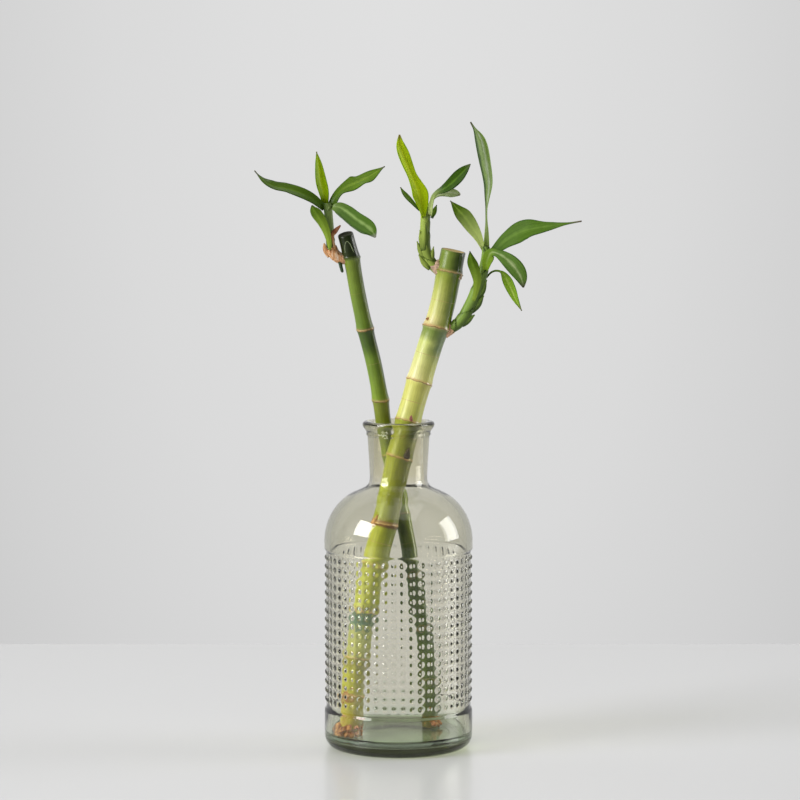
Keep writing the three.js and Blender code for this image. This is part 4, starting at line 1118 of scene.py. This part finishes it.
make_vase()
make_water()
# On the thick cane the dark right side just under the node at 168.5 mm is a painted shadow, and the
# light right side from 169 to 199 mm is painted light.
thick_skin = cane_skin(
    "waxy_yellow_green_cane",
    lit=[(8, "#9a6a2d"), (13, "#b09a3e"), (24, "#b8b63e"), (26, "#9c6a34"), (29, "#96622c"),
         (31, "#b4b637"), (40, "#b0b037"), (48, "#8c8a34"), (49, "#b6b867"), (62, "#b2b66b"),
         (64, "#64806a"), (70, "#4f6a4c"), (72, "#7c6440"), (73.5, "#b4b845"), (96, "#b0b440"),
         (114, "#b2b841"), (114.6, "#8a6238"), (117, "#a07c50"), (117.6, "#9aa230"),
         (151, "#a4ac37"), (168, "#a8b03a"), (169, "#dedf7f"), (188, "#dedc77"),
         (189, "#ece6a0"), (208, "#d4dc7f"), (211, "#96a457"), (215, "#7c923e"),
         (216, "#e0cf92"), (222, "#dcda85"), (243, "#a4b245"), (244, "#869840"),
         (255, "#7f943c")],
    shaded=[(8, "#8a5a26"), (13, "#8c8430"), (28, "#989834"), (48, "#7a7a2d"), (49, "#a4a859"),
            (62, "#98a056"), (64, "#5a7245"), (72, "#567040"), (73, "#98a034"), (95, "#98a034"),
            (96, "#8c9430"), (114, "#7e8a26"), (114.6, "#644426"), (117, "#846440"),
            (117.6, "#7e8429"), (150, "#70780c"), (151, "#7c8422"), (158, "#828a29"),
            (161, "#4e5a16"), (168, "#4e5a16"), (169, "#c0c659"), (188, "#b2ae4c"),
            (189, "#c4c463"), (199, "#a8ae50"), (206, "#5c7032"), (215, "#526628"),
            (216, "#7c882a"), (230, "#617416"), (243, "#5a6c13"), (244, "#32460a"),
            (255, "#2c3c0a")],
    scar="#ceac70", fleck="#82582e", cut=("#6e5430", "#c9b078", "#b8a068"))
# On the thin cane from about 90 to 125 mm the painted light falls on the right and the painted
# shade on the left, so there the lit stops are the darker ones.
thin_skin = cane_skin(
    "waxy_mid_green_cane",
    lit=[(8, "#756529"), (14, "#566721"), (33, "#566a21"), (61, "#4a611b"), (89, "#445b14"),
         (110, "#37480e"), (118, "#475b16"), (126, "#849236"), (151, "#82942e"),
         (152, "#84942d"), (178, "#828d29"), (179, "#87a031"), (200, "#738e2c"),
         (207, "#506a1f"), (215, "#475f1b"), (216, "#718d32"), (251, "#7c902a"),
         (252, "#2c380c"), (263, "#20280a")],
    shaded=[(8, "#605b1f"), (14, "#445618"), (61, "#3c5213"), (84, "#405410"), (96, "#5e6e27"),
            (112, "#758334"), (126, "#87983a"), (151, "#6d7c1e"), (152, "#667613"),
            (178, "#565f10"), (179, "#5e7214"), (200, "#516713"), (207, "#314410"),
            (215, "#2d410f"), (216, "#5a6e18"), (251, "#56671a"), (252, "#1c260a"),
            (263, "#1c260b")],
    scar="#c0a06a", fleck="#6e4e2c", cut=("#1c2010", "#343420", "#2c2e1a"))
make_cane("thick_cane", THICK, thick_skin, 11)
make_cane("thin_cane", THIN, thin_skin, 5)
make_buds()
make_roots()
stem_skins = {
    "left_shoot_stem": stem_skin("young_left_stem_sheaths", "#7c9050", "#2c480a", -1),
    "upper_shoot_stem": stem_skin("young_upper_stem_sheaths", "#a0b450", "#34490e"),
    "right_shoot_stem": stem_skin("young_right_stem_sheaths", "#86a448", "#304610"),
}
for stem_name, stem in STEMS.items():
    make_stem(stem_name, stem, stem_skins[stem_name])
make_husk()
leaf_skins = {name: leaf_skin("living_leaf_" + name, *look) for name, look in SCHEMES.items()}
for leaf_name, leaf in LEAVES.items():
    scheme = leaf["scheme"]
    make_leaf(leaf_name, leaf, leaf_skins[scheme], LEAF_SLOTS.get(scheme, "leaf_green"))


def stage_piece(name, corners, material):
    """One flat face of the stage."""
    bm = bmesh.new()
    bm.faces.new([bm.verts.new(corner) for corner in corners])
    piece = new_object(name, bm, material, name)


def pale_lacquer():
    """The table top: pale satin lacquer with a soft reflection."""
    material, tree, shader = new_material("pale_satin_lacquer")
    fill_node(tree, shader, {"Base Color": "#dedede", "Roughness": 0.24,
                             "Specular IOR Level": 0.4})
    return material


def backdrop_painted_glow():
    """The backdrop: plain grey paper with painted light: it glows, brightest in the middle and
    darker towards its edges.
    """
    material, tree, shader = new_material("backdrop_paper_painted_glow")
    place = add_node(tree, "TexCoord")
    spread = add_node(tree, "Mapping", {"vector_type": "TEXTURE",
                                        "Location": (0, BACKDROP_Y, 0.45), "Scale": (0.7, 1, 1.5)},
                      {"Vector": place.outputs["Object"]})
    pool = add_node(tree, "TexGradient", {"gradient_type": "SPHERICAL"}, {"Vector": spread})
    # Painted light: a pool of light, given as glow, brightest in the middle and darker outwards.
    painted_light_pool = add_node(tree, "ValToRGB",
                    {"stops": [(0.2, "#c8c8c8"), (0.4, "#d2d2d2"), (0.6, "#dadada"),
                               (0.8, "#dedede"), (1.0, "#e0e0e0")]},
                    {"Fac": pool.outputs["Fac"]})
    fill_node(tree, shader, {"Base Color": "#000000", "Specular IOR Level": 0,
                             "Emission Strength": 1}, {"Emission Color": painted_light_pool})
    return material


def soft_box(name, place, target, width, height, power):
    """A lamp behind a rectangular diffuser that faces its target. The power is in watts."""
    light = bpy.data.lights.new(name, "AREA")
    light.shape = "RECTANGLE"
    light.size = width
    light.size_y = height
    light.energy = power
    lamp = bpy.data.objects.new(name, light)
    lamp.location = place
    lamp.rotation_euler = (Vector(target) - Vector(place)).to_track_quat("-Z", "Y").to_euler()
    bpy.context.collection.objects.link(lamp)


# Stage, in metres
TABLE_FRONT, TABLE_BACK = -2.2, 0.32
BACKDROP_Y = 1.4
stage_piece("table_top", [(-3, TABLE_FRONT, 0), (3, TABLE_FRONT, 0), (3, TABLE_BACK, 0),
                          (-3, TABLE_BACK, 0)], pale_lacquer())
stage_piece("backdrop", [(-4, BACKDROP_Y, -1.5), (4, BACKDROP_Y, -1.5), (4, BACKDROP_Y, 3),
                         (-4, BACKDROP_Y, 3)], backdrop_painted_glow())
VASE_MIDDLE = (0, 0, 0.11)
soft_box("left_softbox", (-1.93, -0.99, 1.21), VASE_MIDDLE, 1.14, 1.14, 50)
soft_box("right_softbox", (2.16, 0.18, 0.8), VASE_MIDDLE, 1.02, 1.3, 25)
soft_box("top_softbox", (0, -0.3, 1.8), (0, 0, 0), 1.6, 1.6, 7)

world = bpy.data.worlds.new("soft_studio")
bpy.context.scene.world = world
world.use_nodes = True
fill_node(world.node_tree, world.node_tree.nodes["Background"],
          {"Color": "#d4d4d4", "Strength": 0.24})

# The lens is long and looks down a little under five degrees, from the photo's ellipses.
camera_data = bpy.data.cameras.new("camera")
camera_data.lens = 135
camera_data.sensor_width = 36
camera = bpy.data.objects.new("camera", camera_data)
camera.location = (0.00077, -1.5257, 0.3052)
camera.rotation_euler = (math.radians(85.26), 0, 0)
bpy.context.collection.objects.link(camera)
bpy.context.scene.camera = camera
bpy.context.scene.view_settings.view_transform = "Standard"
